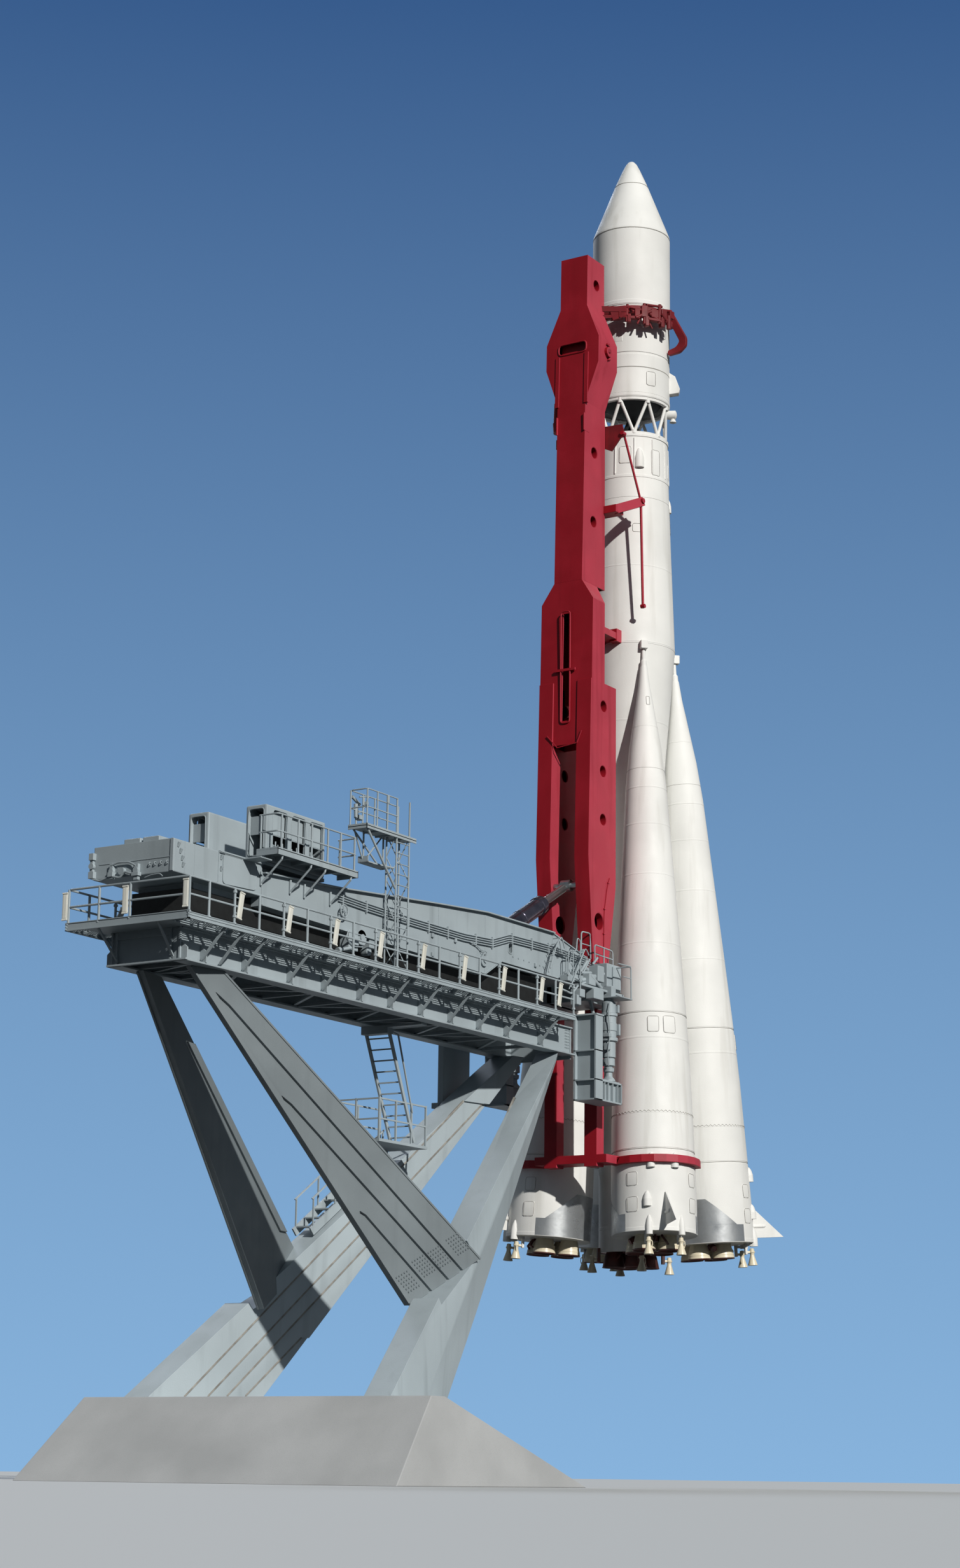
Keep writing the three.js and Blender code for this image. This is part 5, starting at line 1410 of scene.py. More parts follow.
# Cabs: limits of the shell, of its side bays along X, of its rear bay along Y, and heights of bays and blinds
CAB_X, CAB_Y, CAB_Z, CAB_WALL = (19.2, 21.9), (0.62, 1.3), (15.95, 17.5), 0.07
BAYS, REAR_BAY = ((20.95, 21.62), (20.12, 20.78), (19.3, 19.96)), (0.72, 1.22)
BAY_Z, BLIND_Z = (16.12, 17.4), 16.76


def cab_shell():
    """A rounded cab: open bays with blinds down over their upper half, and rails across their foot"""
    end, side = CAB_X[1], CAB_Y[1]
    bays, rear = [box_corners(bay, BAY_Z) for bay in BAYS], box_corners(REAR_BAY, BAY_Z)
    shell = blocks("shell", [(CAB_X, CAB_Y, CAB_Z)], 0.05)
    inside = [(low + CAB_WALL, high - CAB_WALL) for low, high in (CAB_X, CAB_Y)]
    room = blocks("room", [(*inside, (CAB_Z[0] + 0.1, CAB_Z[1] - 0.06))], 0)
    holes = [opening(on_side(side - 0.2, bay), 0.12, (0, 0.4, 0)) for bay in bays]
    holes.append(opening(on_end(end - 0.2, rear), 0.1, (0.4, 0, 0)))
    cut_out(shell, [room, *holes], HERE)
    blinds = [((a - 0.03, b + 0.03), (side - 0.15, side - 0.12), (BLIND_Z, 17.42)) for a, b in BAYS]
    blinds.append(((end - 0.16, end - 0.13), (0.7, 1.24), (BLIND_Z - 0.04, 17.22)))
    rims = [rim("bay_rim", on_side(side + 0.004, bay), 0.12, 0.016, 6) for bay in bays]
    rims.append(rim("rear_rim", on_end(end + 0.004, rear), 0.1, 0.016, 6))
    sills = [((a + 0.02, 1.24, z), (b - 0.02, 1.24, z), 0.014) for a, b in BAYS for z in (16.3, 16.44, 16.72)]
    return [shell, blocks("blinds", blinds, 0.006), *rims, bars("sill_rails", sills, 6)]


def cab_gear():
    """Levers and cylinders that show through the open bays"""
    gear = []
    for step in range(21):
        x, odd = 19.5 + step * 0.105, step % 2
        head = (x + 0.02, 1.18, 16.45 + 0.07 * (step % 3))
        gear.append(((x, 1.2 - 0.05 * odd, 16.05), head, 0.014 + 0.006 * odd))
    gear += [((x, 1.08, 16.05), (x, 1.08, z), radius) for x, z, radius in (
        (21.4, 16.5, 0.09), (21.15, 16.42, 0.07), (20.4, 16.45, 0.07), (20.65, 16.36, 0.06))]
    return bars("cab_levers", gear, 10)


class ROCKET_OT_cabs(bpy.types.Operator):
    """Models the two control cabs with rounded bays, their levers, and near-black walls inside them that
    paint the shade seen through the bays
    """

    bl_idname = "rocket.cabs"
    bl_label = "Control cabs"

    def execute(self, context):
        near = joined("cab_near_shell", cab_shell())
        far = twin(near, "cab_far_shell")
        settle(near, "platform_grey", replaces=("cabin_near",))
        settle(far, "platform_grey", replaces=("cabin_far",))
        settle(cab_gear(), "platform_grey")
        # Near-black sheets lining each cab's inner side and end: painted shade behind the bays
        height = (16.06, 17.4)
        walls = [((19.3, 21.4), (0.72, 0.74), height), ((21.38, 21.4), (0.72, 1.12), height)]
        backs = joined("cab_backs", mirrored([blocks("backs", walls, 0)]))
        settle(backs, "engine_metal", "oily_steel_and_shade")
        return {"FINISHED"}


# Lifting cylinder: its foot, the mouth of its barrel and the eye of its rod
LIFT_FOOT, LIFT_MOUTH, LIFT_EYE = Vector((9.2, 0, 15.75)), Vector((5.66, 0, 17.69)), Vector((4.12, 0, 18.54))


class ROCKET_OT_lift(bpy.types.Operator):
    """Models the lifting cylinder and its rod"""

    bl_idname = "rocket.lift"
    bl_label = "Lifting cylinder"

    def execute(self, context):
        along = LIFT_MOUTH - LIFT_FOOT
        lie = Matrix.Translation(LIFT_FOOT) @ UP.rotation_difference(along).to_matrix().to_4x4()
        reach, rod_end = along.length, (LIFT_EYE - LIFT_FOOT).length
        barrel = turned("lift_barrel", [
            (0.0, 0.0), (0.0, 0.2), (0.05, 0.27), (1.1, 0.27), (1.12, 0.285), (1.2, 0.285), (1.22, 0.27),
            (2.5, 0.27), (2.52, 0.285), (2.6, 0.285), (2.62, 0.27), (reach - 0.34, 0.27), (reach - 0.32, 0.3),
            (reach - 0.2, 0.3), (reach - 0.18, 0.28), (reach - 0.06, 0.28), (reach - 0.02, 0.2),
            (reach - 0.001, 0.18), (reach - 0.001, 0.0)], 48)
        barrel.data.transform(lie)
        settle(barrel, "bright_steel", "blued_barrel_steel", replaces=("lift_cylinder",))
        rod = turned("rod", [(reach, 0.0), (reach, 0.128), (rod_end - 0.3, 0.128), (rod_end - 0.28, 0.11),
                             (rod_end, 0.11), (rod_end, 0.0)], 40)
        rod.data.transform(lie)
        pins = [((4.15, -half, 18.52), (4.15, half, 18.52), radius)
                for half, radius in ((0.44, 0.1), (0.16, 0.19))]
        rod = joined("lift_rod_steel", [rod, bars("pin", pins, 24)])
        settle(rod, "bright_steel", replaces=("lift_rod",))
        return {"FINISHED"}


# Walkway beside the near cab: its length, the height of its floor, the plan of its rail and its posts
WALK_X, WALK_Z = (18.6, 22.3), 16.1
WALK_PLAN = [(22.25, 1.35), (22.25, 1.96), (18.65, 1.96), (18.65, 1.35)]
WALK_POSTS = [(x, 1.96) for x in (22.1, 21.35, 20.74, 20.0, 19.4, 18.75)] + [(22.25, 1.4), (18.65, 1.4)]


class ROCKET_OT_walkway(bpy.types.Operator):
    """Models the walkway beside the near cab with its tube rails and struts"""

    bl_idname = "rocket.walkway"
    bl_label = "Walkway"

    def execute(self, context):
        across, kick = (SIDE_Y, 2.0), (WALK_Z - 0.1, WALK_Z + 0.09)
        floor = [(WALK_X, across, (WALK_Z + 0.03, WALK_Z + 0.06)), (WALK_X, (1.97, 2.0), kick),
                 ((22.27, 22.3), across, kick), ((18.6, 18.63), across, kick),
                 ((22.4, 22.9), (SIDE_Y, 1.9), (WALK_Z - 0.3, WALK_Z - 0.27))]
        floor += [((x, x + 0.06), (SIDE_Y, 1.98), (WALK_Z - 0.07, WALK_Z + 0.03))
                  for x in (19.3, 20.0, 20.7, 21.4)]
        struts = []
        for x in (22.0, 20.7, 20.05, 18.85):
            knee, foot = (x + 0.02, 1.93, WALK_Z - 0.2), x + 0.1
            struts += [((x, 1.96, WALK_Z), knee, 0.028), (knee, (foot, 1.34, 15.3), 0.028),
                       ((foot, 1.34, 15.25), (foot, 1.34, 15.62), 0.032)]
        pieces = [blocks("floor", floor, 0.004), bars("struts", struts, 8),
                  *handrail(WALK_PLAN, WALK_POSTS, WALK_Z + 0.07, WALK_Z + 1.0, 0.024)]
        settle(joined("cab_walkway", pieces), "platform_grey", replaces=("walkway",))
        return {"FINISHED"}


# Ladder tower: its four stiles, the foot and the floor of its railed top
TOWER_X, TOWER_Y, TOWER_FOOT, TOWER_TOP, PANEL = (15.78, 16.41), (1.41, 1.75), 13.85, 17.65, 0.62


def tower_frame():
    """Stiles, zig-zag lacing on every side, rungs, and the struts under the two floors"""
    near, far = TOWER_Y
    spans = [((x, y, TOWER_FOOT), (x, y, top), 0.026)
             for x in TOWER_X for y, top in ((near, TOWER_TOP), (far, TOWER_TOP + 1.05))]
    for row in range(6):
        z = TOWER_FOOT + 0.1 + row * PANEL
        ahead, behind = (0, 1) if row % 2 else (1, 0)
        spans += [((x, TOWER_Y[ahead], z), (x, TOWER_Y[behind], z + PANEL), 0.016) for x in TOWER_X]
        spans.append(((TOWER_X[ahead], near, z), (TOWER_X[behind], near, z + PANEL), 0.016))
    for z in [14.15 + rung * 0.3 for rung in range(12)]:
        spans.append(((TOWER_X[0], far, z), (TOWER_X[1], far, z), 0.017))
    spans += [((x, near, z), (x, SIDE_Y, z), 0.03) for x in TOWER_X for z in (15.4, 16.0)]
    spans += [((16.4, 1.72, 16.13), (17.88, 1.72, TOWER_TOP), 0.034),
              ((16.4, 1.2, 16.75), (17.8, 1.2, TOWER_TOP), 0.028),
              ((17.38, 1.3, 16.75), (17.38, 1.3, TOWER_TOP), 0.026),
              ((17.38, 1.3, 16.75), (16.45, 1.3, TOWER_TOP), 0.024),
              ((17.38, 1.3, 16.75), (17.88, 1.3, TOWER_TOP), 0.024),
              ((16.45, 1.7, 16.7), (17.4, 1.4, 16.74), 0.026),
              ((16.41, 1.3, 16.7), (16.41, 1.3, TOWER_TOP), 0.028)]
    return bars("tower_frame", spans, 8)


def tower_floors():
    edge = (TOWER_TOP - 0.09, TOWER_TOP + 0.05)
    floors = [((15.49, 17.95), (1.16, 1.8), (TOWER_TOP - 0.03, TOWER_TOP)),
              ((15.49, 17.95), (1.77, 1.8), edge), ((17.92, 17.95), (1.16, 1.8), edge),
              ((16.3, 17.44), (1.16, 1.5), (16.72, 16.76)), ((17.41, 17.44), (1.16, 1.5), (16.72, 16.9))]
    floors += [((x, x + 0.05), (1.17, 1.78), (TOWER_TOP - 0.07, TOWER_TOP - 0.02))
               for x in (16.0, 16.6, 17.2)]
    return blocks("floors", floors, 0.004)


def tower_lamp():
    """Floodlight column, its tilted head, and a folding bracket beside it, each span as (x, z) to (x, z)"""
    spans = [((xa, 1.2, za), (xb, 1.2, zb), radius) for xa, za, xb, zb, radius in (
        (17.62, TOWER_TOP, 17.62, 17.95, 0.03), (17.62, 17.95, 17.64, 18.35, 0.06),
        (17.84, 18.52, 17.46, 18.36, 0.045), (17.32, 17.7, 17.25, 18.6, 0.02),
        (17.48, 18.58, 16.98, 18.68, 0.02), (17.25, 18.3, 17.05, 18.66, 0.02),
        (17.3, 18.2, 17.62, 18.1, 0.02))]
    boxes = [((17.45, 17.6), (1.16, 1.3), (17.9, 18.05)), ((17.12, 17.24), (1.17, 1.27), (18.35, 18.5)),
             ((16.84, 16.94), (1.74, 1.79), (18.45, 18.69))]
    return [bars("lamp", spans, 10), blocks("lamp_boxes", boxes, 0.015)]


class ROCKET_OT_tower(bpy.types.Operator):
    """Models the laced ladder tower, its floors, rails and floodlight"""

    bl_idname = "rocket.tower"
    bl_label = "Ladder tower"

    def execute(self, context):
        plan = [(15.54, 1.2), (17.9, 1.2), (17.9, 1.76), (16.41, 1.76)]
        posts = [(x, 1.2) for x in (15.54, 16.1, 16.72, 17.3, 17.9)] + [(x, 1.76) for x in (17.9, 17.4, 16.9)]
        rails = handrail(plan, posts, TOWER_TOP + 0.02, TOWER_TOP + 1.03, 0.02)
        pieces = [tower_frame(), tower_floors(), *tower_lamp(), *rails]
        settle(joined("tower_tubes", pieces), "platform_grey", replaces=("ladder_tower",))
        return {"FINISHED"}


# End column: X of its plates' rear edges, and its breadth along Y
COLUMN_END, COLUMN_Y = 5.7194, (1.2, 2.0)


def column_body():
    """A welded box column: open panels between flanges on its rear face, and a ribbed box foot"""
    boxes = [((5.3, 5.59), (1.25, 1.94), (11.5, 14.06)), ((5.3, COLUMN_END), (1.94, 2.0), (11.45, 14.08)),
             ((5.3, COLUMN_END), (1.2, 1.27), (11.45, 14.08)), ((4.2, 5.4), (1.3, 1.9), (11.5, 12.06)),
             ((5.27, COLUMN_END), (1.17, 2.03), (14.05, 14.1)), ((4.15, 5.4), (1.26, 1.94), (12.1, 12.14))]
    boxes += [(x, COLUMN_Y, z) for x, z in (
        ((4.1, COLUMN_END), (11.45, 11.5)), ((4.1, COLUMN_END), (12.05, 12.1)),
        ((5.3, COLUMN_END), (12.95, 13.0)), ((4.1, 4.14), (11.45, 12.1)))]
    boxes += [((x, x + 0.035), (1.85, 1.99), (11.48, 12.08)) for x in (4.32, 4.62, 4.9, 5.12, 5.27)]
    outline = on_side(1.96, [(5.3, 12.1), (5.3, 14.05), (5.42, 14.05), (5.42, 12.9)])
    return [blocks("column", boxes, 0.006), prism("taper", outline, (0, 0.035, 0))]


def jack_body():
    """A jack: ball foot, neck, ram, thick barrel with collars, and its head"""
    barrel = turned("barrel", [
        (12.152, 0.0), (12.152, 0.21), (12.2, 0.2), (12.3, 0.12), (12.42, 0.11), (12.45, 0.16), (12.56, 0.17),
        (12.58, 0.12), (12.62, 0.12), (12.64, 0.19), (12.84, 0.19), (12.87, 0.16), (12.9, 0.21),
        (13.38, 0.21), (13.4, 0.28), (13.5, 0.28), (13.52, 0.23), (13.7, 0.23), (13.72, 0.25), (13.95, 0.25),
        (13.97, 0.23), (14.16, 0.23), (14.18, 0.27), (14.26, 0.27), (14.28, 0.22), (14.6, 0.22),
        (14.64, 0.16), (14.749, 0.14), (14.749, 0.0)], 32)
    barrel.data.transform(shift(4.45, 1.72, 0))
    boxes = [((4.16, 4.26), (1.86, 1.98), (13.6, 13.95)), ((4.2, 4.3), (1.84, 1.97), (14.3, 14.55)),
             ((4.62, 4.78), (1.7, 1.92), (13.5, 13.62)), ((4.64, 4.76), (1.72, 1.9), (13.1, 13.3))]
    line = [(4.7, 1.9, 14.6), (4.78, 1.9, 14.2), (4.72, 1.92, 13.6), (4.8, 1.88, 13.0), (4.7, 1.86, 12.6)]
    return [barrel, blocks("jack_boxes", boxes, 0.015), tube("jack_pipe", rounded(line, 0.12), 0.016, 6)]


class ROCKET_OT_columns(bpy.types.Operator):
    """Models the end columns and the jacks on their feet"""

    bl_idname = "rocket.columns"
    bl_label = "Columns and jacks"

    def execute(self, context):
        for word, build, node, slot in (("box_column", column_body, "end_column", "platform_grey"),
                                        ("grey_jack", jack_body, "jack", "bright_steel")):
            near = joined(f"{word}_near", build())
            far = twin(near, f"{word}_far")
            for piece, side in ((near, "near"), (far, "far")):
                settle(piece, slot, "grey_machine_paint", replaces=(f"{node}_{side}",))
        return {"FINISHED"}


# Machinery at the rocket end: bent tubes, each as Y, radius and a line of (x, z), and a rail round a corner
END_TUBES = (
    (1.7, 0.02, ((7.96, 15.17), (7.6, 15.94), (7.3, 16.25), (7.12, 15.9))),
    (1.5, 0.02, ((7.72, 15.1), (7.4, 15.9), (7.1, 16.2), (6.95, 15.8))),
    (1.75, 0.022, ((6.84, 14.74), (6.31, 15.59), (5.95, 16.1), (5.75, 15.9))),
    (1.55, 0.022, ((6.6, 14.74), (6.1, 15.59), (5.75, 16.1))),
    (1.7, 0.02, ((6.9, 15.1), (6.9, 15.85), (6.42, 15.93), (6.37, 16.36), (6.17, 16.3), (6.17, 14.78))),
    (1.7, 0.018, ((6.6, 15.88), (6.6, 15.0))),
    (0.9, 0.024, ((4.76, 16.1), (4.76, 16.88), (4.2, 16.9), (4.18, 16.1))),
    (0.9, 0.02, ((4.76, 16.5), (4.18, 16.5))),
    (1.25, 0.024, ((4.5, 15.9), (4.54, 16.47), (3.4, 16.43), (3.38, 15.9))),
    (1.25, 0.02, ((4.5, 16.18), (3.4, 16.16))),
    (1.25, 0.02, ((3.95, 16.44), (3.95, 15.9))),
    (2.2, 0.022, ((4.72, 15.76), (3.91, 15.78), (3.89, 14.76))),
    (2.2, 0.018, ((3.91, 15.4), (4.4, 15.4))),
    (1.6, 0.035, ((7.2, 14.67), (6.5, 14.6), (6.1, 14.95), (5.6, 15.1))),
    (1.5, 0.018, ((7.1, 15.84), (6.69, 15.86), (6.68, 15.05))),
    (1.3, 0.055, ((5.05, 14.9), (4.9, 14.7), (4.66, 14.2))),
)
CORNER_RAIL = ((3.89, 1.5, 14.76), (3.91, 1.5, 15.78), (3.91, 2.2, 15.78))

# Two ladders: count of rungs, place of the first, step to the next as (x, z), and their ends along Y
END_LADDERS = ((6, (6.72, 14.94), (-0.13, 0.21), (1.55, 1.75)), (5, (7.84, 15.4), (-0.09, 0.19), (1.5, 1.7)))
END_BOXES = (
    ((4.35, 5.19), (-0.1, 1.4), (14.95, 15.3)), ((3.5, 5.19), (-0.1, 1.3), (14.6, 14.95)),
    ((3.5, 4.4), (1.0, 1.62), (15.05, 15.88)), ((3.6, 4.1), (1.62, 1.68), (15.1, 15.8)),
    ((3.55, 6.15), (1.35, 1.75), (14.9, 14.98)), ((3.88, 4.7), (1.6, 2.25), (14.72, 14.76)),
    ((4.7, 5.1), (1.35, 1.7), (15.2, 15.7)), ((5.3, 5.7), (1.35, 1.75), (15.0, 15.35)),
    ((5.8, 6.4), (1.35, 1.6), (15.05, 15.25)), ((6.5, 6.9), (1.4, 1.7), (14.95, 15.15)),
    ((4.9, 5.5), (1.5, 1.8), (14.6, 14.9)), ((5.95, 6.25), (1.4, 1.75), (14.55, 14.8)),
    ((6.1, 6.35), (1.45, 1.7), (14.3, 14.6)), ((4.32, 4.6), (1.55, 1.9), (14.75, 15.1)),
)
END_RODS = (
    ((5.9, 1.55, 15.1), (4.6, 1.6, 15.5), 0.07), ((6.3, 1.5, 15.3), (5.2, 1.5, 15.45), 0.05),
    ((5.6, 1.7, 15.3), (4.9, 1.7, 15.0), 0.06), ((6.0, 1.6, 15.35), (5.6, 1.6, 15.75), 0.05),
    ((4.6, 1.3, 15.5), (5.3, 1.3, 15.6), 0.09), ((6.9, 1.55, 15.2), (6.1, 1.6, 15.1), 0.04),
    ((6.22, 1.6, 14.3), (6.05, 1.6, 14.75), 0.09), ((4.45, 1.72, 14.76), (4.45, 1.72, 15.12), 0.15),
    ((5.0, 1.45, 15.75), (4.7, 1.45, 16.0), 0.04), ((5.5, 1.4, 15.4), (5.1, 1.4, 15.9), 0.03),
)


class ROCKET_OT_end_machinery(bpy.types.Operator):
    """Models the rails, rods and boxes at the rocket end of the transporter"""

    bl_idname = "rocket.end_machinery"
    bl_label = "End machinery"

    def execute(self, context):
        tubes = [tube("end_tube", rounded(on_side(y, line), 0.12), radius, 8)
                 for y, radius, line in END_TUBES]
        tubes.append(tube("corner_rail", rounded(CORNER_RAIL, 0.12), 0.02, 8))
        rungs = []
        for count, (x, z), (back, rise), ends in END_LADDERS:
            for step in range(count):
                near, far = [(x + step * back, y, z + step * rise) for y in ends]
                rungs.append((near, far, 0.014))
        pieces = [*tubes, bars("end_rungs", rungs, 6), bars("end_rods", END_RODS, 14),
                  blocks("end_boxes", END_BOXES, 0.02)]
        gear = joined("end_gear", mirrored([joined("end_near", pieces)]))
        settle(gear, "platform_grey", replaces=("end_machinery",))
        return {"FINISHED"}


# Slots through the boom's rear face, as (y, z) corners
MAST_SLOT, LOWER_SLOT = box_corners((-0.53, 0.53), (36.55, 36.92)), box_corners((-0.17, 0.17), (23.82, 27.55))


# Round holes through the boom's cheeks, as (x, z, radius)
MAST_HOLES = ((3.3, 39.1, 0.2), (3.42, 33.15, 0.2), (3.45, 30.76, 0.2))
LOWER_HOLES = ((3.52, 24.43, 0.2), (3.55, 22.27, 0.2), (3.54, 20.69, 0.2), (3.78, 17.35, 0.29))


def bushes(holes, half):
    """Short sleeves inside round holes, at each side's plate"""
    rows = [(0.0, 0.995), (0.22, 0.995), (0.22, 0.93), (0.0, 0.93), (0.0, 0.995)]
    model = turned("bush", rows, 40)
    places = [shift(x, side * half, z) @ turn(90 * side, "X") @ Matrix.Diagonal((radius, radius, 1, 1))
              for x, z, radius in holes for side in SIDES]
    return spread("bushes", model, places)


def mast_fittings():
    """Slot lip and dark back, panel edges, and the cylinders and loops clamped on the mast"""
    panel = [((4.03, side * 0.5, 33.3), (3.975, side * 0.5, 36.5), 0.03, 0.03) for side in SIDES]
    rods = [((3.72, -0.72, 34.2), (3.68, -0.72, 35.0), 0.13),
            ((3.74, -0.66, 33.95), (3.72, -0.7, 34.3), 0.17),
            ((3.7, -0.64, 33.4), (3.7, -0.64, 33.7), 0.12), ((3.72, -0.62, 33.1), (3.7, -0.64, 33.4), 0.07),
            ((3.42, 0.95, 36.6), (3.42, 1.07, 36.6), 0.15), ((3.42, 1.05, 36.6), (3.42, 1.1, 36.6), 0.09)]
    loops = [tube("loop", rounded(on_side(1.04, line), 0.06), 0.03, 8) for line in (
        [(3.5, 36.85), (3.32, 36.82), (3.28, 36.5), (3.4, 36.3)], [(3.36, 36.9), (3.22, 36.6), (3.3, 36.35)])]
    backing = blocks("backing", [((3.78, 3.8), (-0.5, 0.5), (36.4, 37.05))], 0)
    return [rim("slot_lip", on_end(3.985, MAST_SLOT), 0.15, 0.028), beams("panel_edges", panel),
            bars("mast_rods", rods, 20), *loops, backing]


def lower_fittings():
    """Slot lip, crossbar, weld seams and the service pipe on the lower boom"""
    weld = ((-0.63, 23.44), (-0.24, 23.01), (0.49, 23.1), (0.66, 23.49))
    seams = [((4.4, *a), (4.4, *b), 0.03, 0.03) for a, b in zip(weld, weld[1:])]
    seams.append(((4.34, -0.38, 25.58), (4.34, 0.38, 25.58), 0.05, 0.08))
    pipe = rounded(on_side(0.99, [(3.14, 18.85), (3.29, 18.53), (3.48, 17.65), (3.5, 16.0)]), 0.2)
    straps = [(around(x, 0.05), (0.96, 1.02), around(z, 0.02))
              for x, z in ((3.22, 18.68), (3.46, 17.8), (3.5, 17.0))]
    return [rim("slot_lip", on_end(4.33, LOWER_SLOT), 0.12, 0.025), beams("seams", seams),
            tube("pipe", pipe, 0.02, 8), blocks("straps", straps, 0.004)]


class ROCKET_OT_boom(bpy.types.Operator):
    """Opens the boom's round holes and models its lips, bushes, seams and clamped cylinders"""

    bl_idname = "rocket.boom"
    bl_label = "Boom fittings"

    def execute(self, context):
        spare = [((3.7, 4.3), flank(side, 0.535, 0.95), (33.6, 34.42)) for side in SIDES]
        extra = [blocks("spare", spare, 0), opening(on_end(4.1, MAST_SLOT), 0.15, (-0.3, 0, 0))]
        for name, holes, cutters in (("boom_mast_plating", MAST_HOLES, extra),
                                     ("boom_lower_plating", LOWER_HOLES, [])):
            round_holes = [bars("hole", [((x, -2, z), (x, 2, z), radius)], 40) for x, z, radius in holes]
            cut_out(bpy.data.objects[name], round_holes + cutters)
        pieces = [bushes(MAST_HOLES, 0.515), bushes(LOWER_HOLES, 0.962), *mast_fittings(), *lower_fittings()]
        settle(joined("boom_fittings", pieces), "erector_red")
        return {"FINISHED"}


# Clasp round the stage: rods, with each end as (azimuth, radius, height), boxes as (azimuth, height,
# width, tall), and the outline of a hook as (y, z)
CLASP_RODS = (
    ((8, 1.5, 38.98), (26, 1.52, 38.98), 0.06), ((14, 1.52, 38.78), (30, 1.5, 38.62), 0.05),
    ((28, 1.5, 39.0), (44, 1.5, 38.88), 0.055), ((34, 1.54, 38.6), (52, 1.5, 38.9), 0.06),
    ((46, 1.52, 39.1), (66, 1.5, 39.14), 0.045), ((50, 1.5, 38.8), (64, 1.52, 38.55), 0.065),
    ((60, 1.5, 39.0), (80, 1.5, 39.1), 0.05), ((64, 1.55, 38.85), (78, 1.55, 38.5), 0.06),
    ((24, 1.5, 38.48), (25, 1.5, 39.1), 0.04), ((44, 1.5, 38.42), (44, 1.5, 39.15), 0.045),
    ((62, 1.5, 38.5), (63, 1.5, 39.2), 0.05), ((74, 1.55, 38.38), (74, 1.55, 38.85), 0.07),
    ((36, 1.5, 38.4), (40, 1.42, 38.7), 0.03), ((54, 1.46, 38.3), (50, 1.4, 38.6), 0.025),
)
CLASP_BOXES = ((6, 38.85, 0.34, 0.22), (22, 38.86, 0.2, 0.34), (36, 38.78, 0.16, 0.3), (44, 38.86, 0.2, 0.42),
               (56, 38.82, 0.24, 0.3), (68, 38.86, 0.2, 0.36), (80, 38.95, 0.2, 0.28), (12, 38.64, 0.4, 0.1),
               (27, 38.6, 0.1, 0.3), (33, 38.62, 0.3, 0.1), (47, 38.52, 0.12, 0.36), (55, 38.6, 0.4, 0.1),
               (66, 38.56, 0.12, 0.34), (75, 38.64, 0.3, 0.12))
HOOK = ((1.33, 39.12), (1.45, 39.28), (2.05, 38.15), (2.04, 37.86), (1.79, 37.65), (1.34, 37.62),
        (1.34, 37.8), (1.66, 37.87), (1.8, 38.05), (1.38, 38.9))

# Arms to the boosters' tips: the eye on an arm, the foot of its rod, and the outline of its plate as (y, z)
TIP_EYE, TIP_FOOT = (1.7, 1.32, 31.85), (1.56, 1.32, 28.18)
TIP_PLATE = ((0.45, 34.24), (1.17, 34.21), (1.27, 33.84), (1.1, 33.81), (0.76, 33.4), (0.45, 33.55))


def collar():
    """The open ring round the stage, with its jaws, arms, hooks and crossbar"""
    rows = [(38.82, 1.318), (38.82, 1.42), (38.87, 1.46), (39.06, 1.46), (39.11, 1.42), (39.11, 1.318),
            (38.82, 1.318)]
    ring = turned("clasp_ring", rows, FINE_ROUND)
    cut_out(ring, [blocks("gap", [((-2, -0.75), (-2, 2), (38, 40))], 0)], HERE)
    rods = [(polar(ra, aa, za), polar(rb, ab, zb), radius)
            for (aa, ra, za), (ab, rb, zb), radius in CLASP_RODS]
    places = [turn(azimuth) @ block_matrix((1.4, 1.56), around(0, wide / 2), around(z, tall / 2))
              for azimuth, z, wide, tall in CLASP_BOXES]
    boxes = bevelled(spread("clasp_boxes", model_cube(), places), 0.02)
    jaws = joined("clasp_jaws", [bars("clasp_rods", rods, 14), boxes])
    jaws.data.transform(shift(0, 0, -0.1) @ Matrix.Diagonal((1.16, 1.16, 1, 1)))
    arms = beams("clasp_arms", [((2.9, 0.46, 38.42), (1.3, 0.74, 38.92), 0.12, 0.18),
                                ((2.9, 0.46, 38.14), (1.4, 0.7, 38.66), 0.09, 0.1),
                                ((2.4, 0.56, 38.34), (1.7, 0.68, 38.74), 0.06, 0.34)])
    hook = bevelled(prism("hook", eased(on_end(-0.27, HOOK), 0.08, 3), (0.14, 0, 0)), 0.015)
    near = joined("clasp_near", [jaws, arms, hook])
    cross = blocks("clasp_cross", [((1.9, 2.05), (-0.7, 0.7), (38.4, 38.62))], 0.01)
    return joined("clasps", [ring, cross, *mirrored([near])])


def tip_work():
    """Beams, rods and eyes that reach from the boom to the boosters' tips"""
    reach = beams("reach", [((2.68, 0.9, 31.35), (1.62, 1.32, 31.85), 0.2, 0.3)])
    rods = [(TIP_EYE, TIP_FOOT, 0.045), ((2.64, 1.2, 33.95), TIP_EYE, 0.04)]
    rods += [((2.56, 1.19, 33.95), (2.76, 1.19, 33.95), 0.07), ((1.7, 1.2, 31.85), (1.7, 1.44, 31.85), 0.09),
             ((1.56, 1.25, 28.25), (1.56, 1.4, 28.25), 0.07)]
    near = joined("tip_near", [reach, bars("rods", rods, 14)])
    ties = blocks("ties", [((2.3, 2.8), (-1, 1), (31.23, 31.49))], 0.012)
    return joined("tip_arm_work", [ties, *mirrored([near])])


def tip_plates():
    plate = prism("arm_plate", on_end(2.63, TIP_PLATE), (0.06, 0, 0))
    flange = beams("flange", [((2.66, 0.45, 34.24), (2.66, 1.17, 34.21), 0.03, 0.14)])
    return joined("tip_arm_plates", mirrored([joined("plate_near", [plate, flange])]))


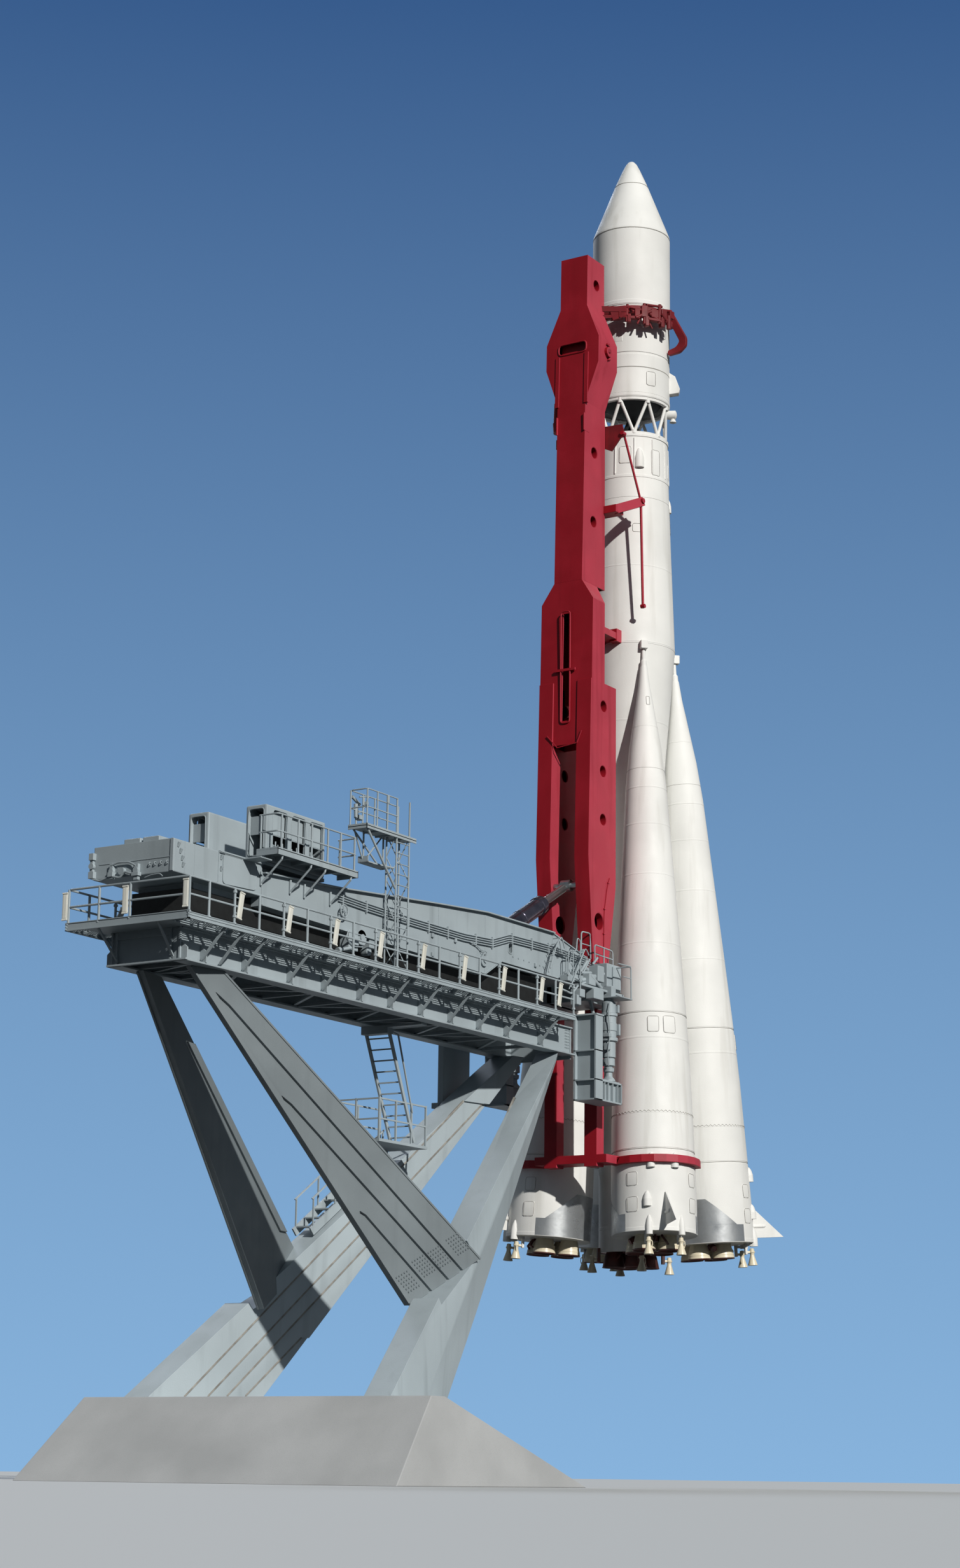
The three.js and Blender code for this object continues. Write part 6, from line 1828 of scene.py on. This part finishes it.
class ROCKET_OT_clasps(bpy.types.Operator):
    """Models the collar round the upper stage and the arms to the boosters' tips"""

    bl_idname = "rocket.clasps"
    bl_label = "Collar and arms"

    def execute(self, context):
        # The collar and the arm plates take the darker red, which paints the shade they lie in
        settle(collar(), "erector_red", "shaded_red_paint", replaces=("fairing_collar",))
        settle(tip_work(), "erector_red", replaces=("tip_arms",))
        settle(tip_plates(), "erector_red", "shaded_red_paint")
        return {"FINISHED"}


# Rivet fields at the braces' feet, as opposite corners (x, z) on the outer face, and the lines down the legs
# where dark strips paint the shadows of the lap steps
RIVET_FIELDS = (((16.86, 5.38), (16.13, 5.0)), ((16.45, 5.82), (15.42, 5.46)), ((15.88, 6.07), (14.84, 5.76)),
                ((15.23, 6.43), (14.18, 6.17)))
LAP_SHADOW_LINES = (((18.72, 2.25), (8.65, 11.23)), ((17.82, 2.29), (7.77, 11.24)), ((17.08, 2.31), (12.19, 6.67)),
             ((16.34, 2.34), (14.4, 4.0)))


def brace_face(x, z):
    """Y of the brace's outer face"""
    return 6.13 - 0.22 * x - 0.01 * (12.83 - z) + 0.1


def leg_inside(x, z, depth):
    """Y of the leg's inner face, set back by a depth"""
    return -0.43 + 0.19 * x + 0.05 * (12.83 - z) - 0.415 + depth


class ROCKET_OT_supports(bpy.types.Operator):
    """Models the rivets and edge lips of the braces and the dark strips painted as shadows along the legs'
    lap steps
    """

    bl_idname = "rocket.supports"
    bl_label = "Braces and legs"

    def execute(self, context):
        along, down = Vector((1, 0, 0.78)).normalized(), Vector((1, 0, -0.52)).normalized()
        domes = []
        for (x0, z0), (x1, z1) in RIVET_FIELDS:
            middle = Vector(((x0 + x1) / 2 + 0.1, 0, (z0 + z1) / 2 + 0.12))
            for row in range(6):
                for col in range(5):
                    spot = middle + along * 0.115 * (row - 2.5) + down * 0.105 * (col - 2)
                    y = brace_face(spot.x, spot.z)
                    domes.append(((spot.x, y - 0.01, spot.z), (spot.x, y + 0.025, spot.z), 0.026))
        rivets = bars("rivets", domes, 8)
        lips = []
        for (xa, za), (xb, zb) in (((13.92, 6.07), (23.28, 12.8)), ((16.47, 4.68), (24.33, 12.8))):
            lips.append(((xa, brace_face(xa, za), za), (xb, brace_face(xb, zb), zb), 0.05, 0.05))
        near = joined("brace_near_rivets", [rivets, beams("lips", lips)])
        settle(joined("brace_fittings", mirrored([near])), "platform_grey", "shaded_grey_paint")
        # Dark strips on the legs' inner faces, each set back with its lap step: painted shadows of the steps
        lap_shadows = []
        for step, ((xa, za), (xb, zb)) in enumerate(LAP_SHADOW_LINES):
            depth = 0.06 * step + 0.02
            ends = [(x, leg_inside(x, z, depth), z) for x, z in ((xa, za), (xb, zb))]
            lap_shadows.append((*ends, 0.05, 0.05))
        lines = beams("lap_lines", lap_shadows)
        settle(joined("leg_lap_lines", mirrored([lines])), "engine_metal", "joint_sealant_and_shadow")
        return {"FINISHED"}


class ROCKET_PT_parts(bpy.types.Panel):
    """Lists the steps that build the rocket and its erector"""

    bl_label = "Rocket"
    bl_idname = "ROCKET_PT_parts"
    bl_space_type = "VIEW_3D"
    bl_region_type = "UI"
    bl_category = "Rocket"

    def draw(self, context):
        column = self.layout.column()
        for step in STEPS:
            column.operator(step.bl_idname)
        for group in (context.scene.rocket_sizes, context.scene.rocket_colours):
            for key in group.__annotations__:
                column.prop(group, key)


STEPS = (
    ROCKET_OT_finishes,
    ROCKET_OT_stage,
    ROCKET_OT_boosters,
    ROCKET_OT_core,
    ROCKET_OT_plate_work,
    ROCKET_OT_railings,
    ROCKET_OT_platform,
    ROCKET_OT_transporter,
    ROCKET_OT_rear_box,
    ROCKET_OT_cabs,
    ROCKET_OT_lift,
    ROCKET_OT_walkway,
    ROCKET_OT_tower,
    ROCKET_OT_columns,
    ROCKET_OT_end_machinery,
    ROCKET_OT_boom,
    ROCKET_OT_clasps,
    ROCKET_OT_supports,
)
CLASSES = (RocketColours, RocketSizes, *STEPS, ROCKET_PT_parts)


def register():
    for made in CLASSES:
        bpy.utils.register_class(made)
    bpy.types.Scene.rocket_colours = bpy.props.PointerProperty(type=RocketColours)
    bpy.types.Scene.rocket_sizes = bpy.props.PointerProperty(type=RocketSizes)


def unregister():
    del bpy.types.Scene.rocket_sizes
    del bpy.types.Scene.rocket_colours
    for made in reversed(CLASSES):
        bpy.utils.unregister_class(made)


def main():
    register()
    for step in STEPS:
        group, action = step.bl_idname.split(".")
        getattr(getattr(bpy.ops, group), action)()


if __name__ == "__main__":
    main()
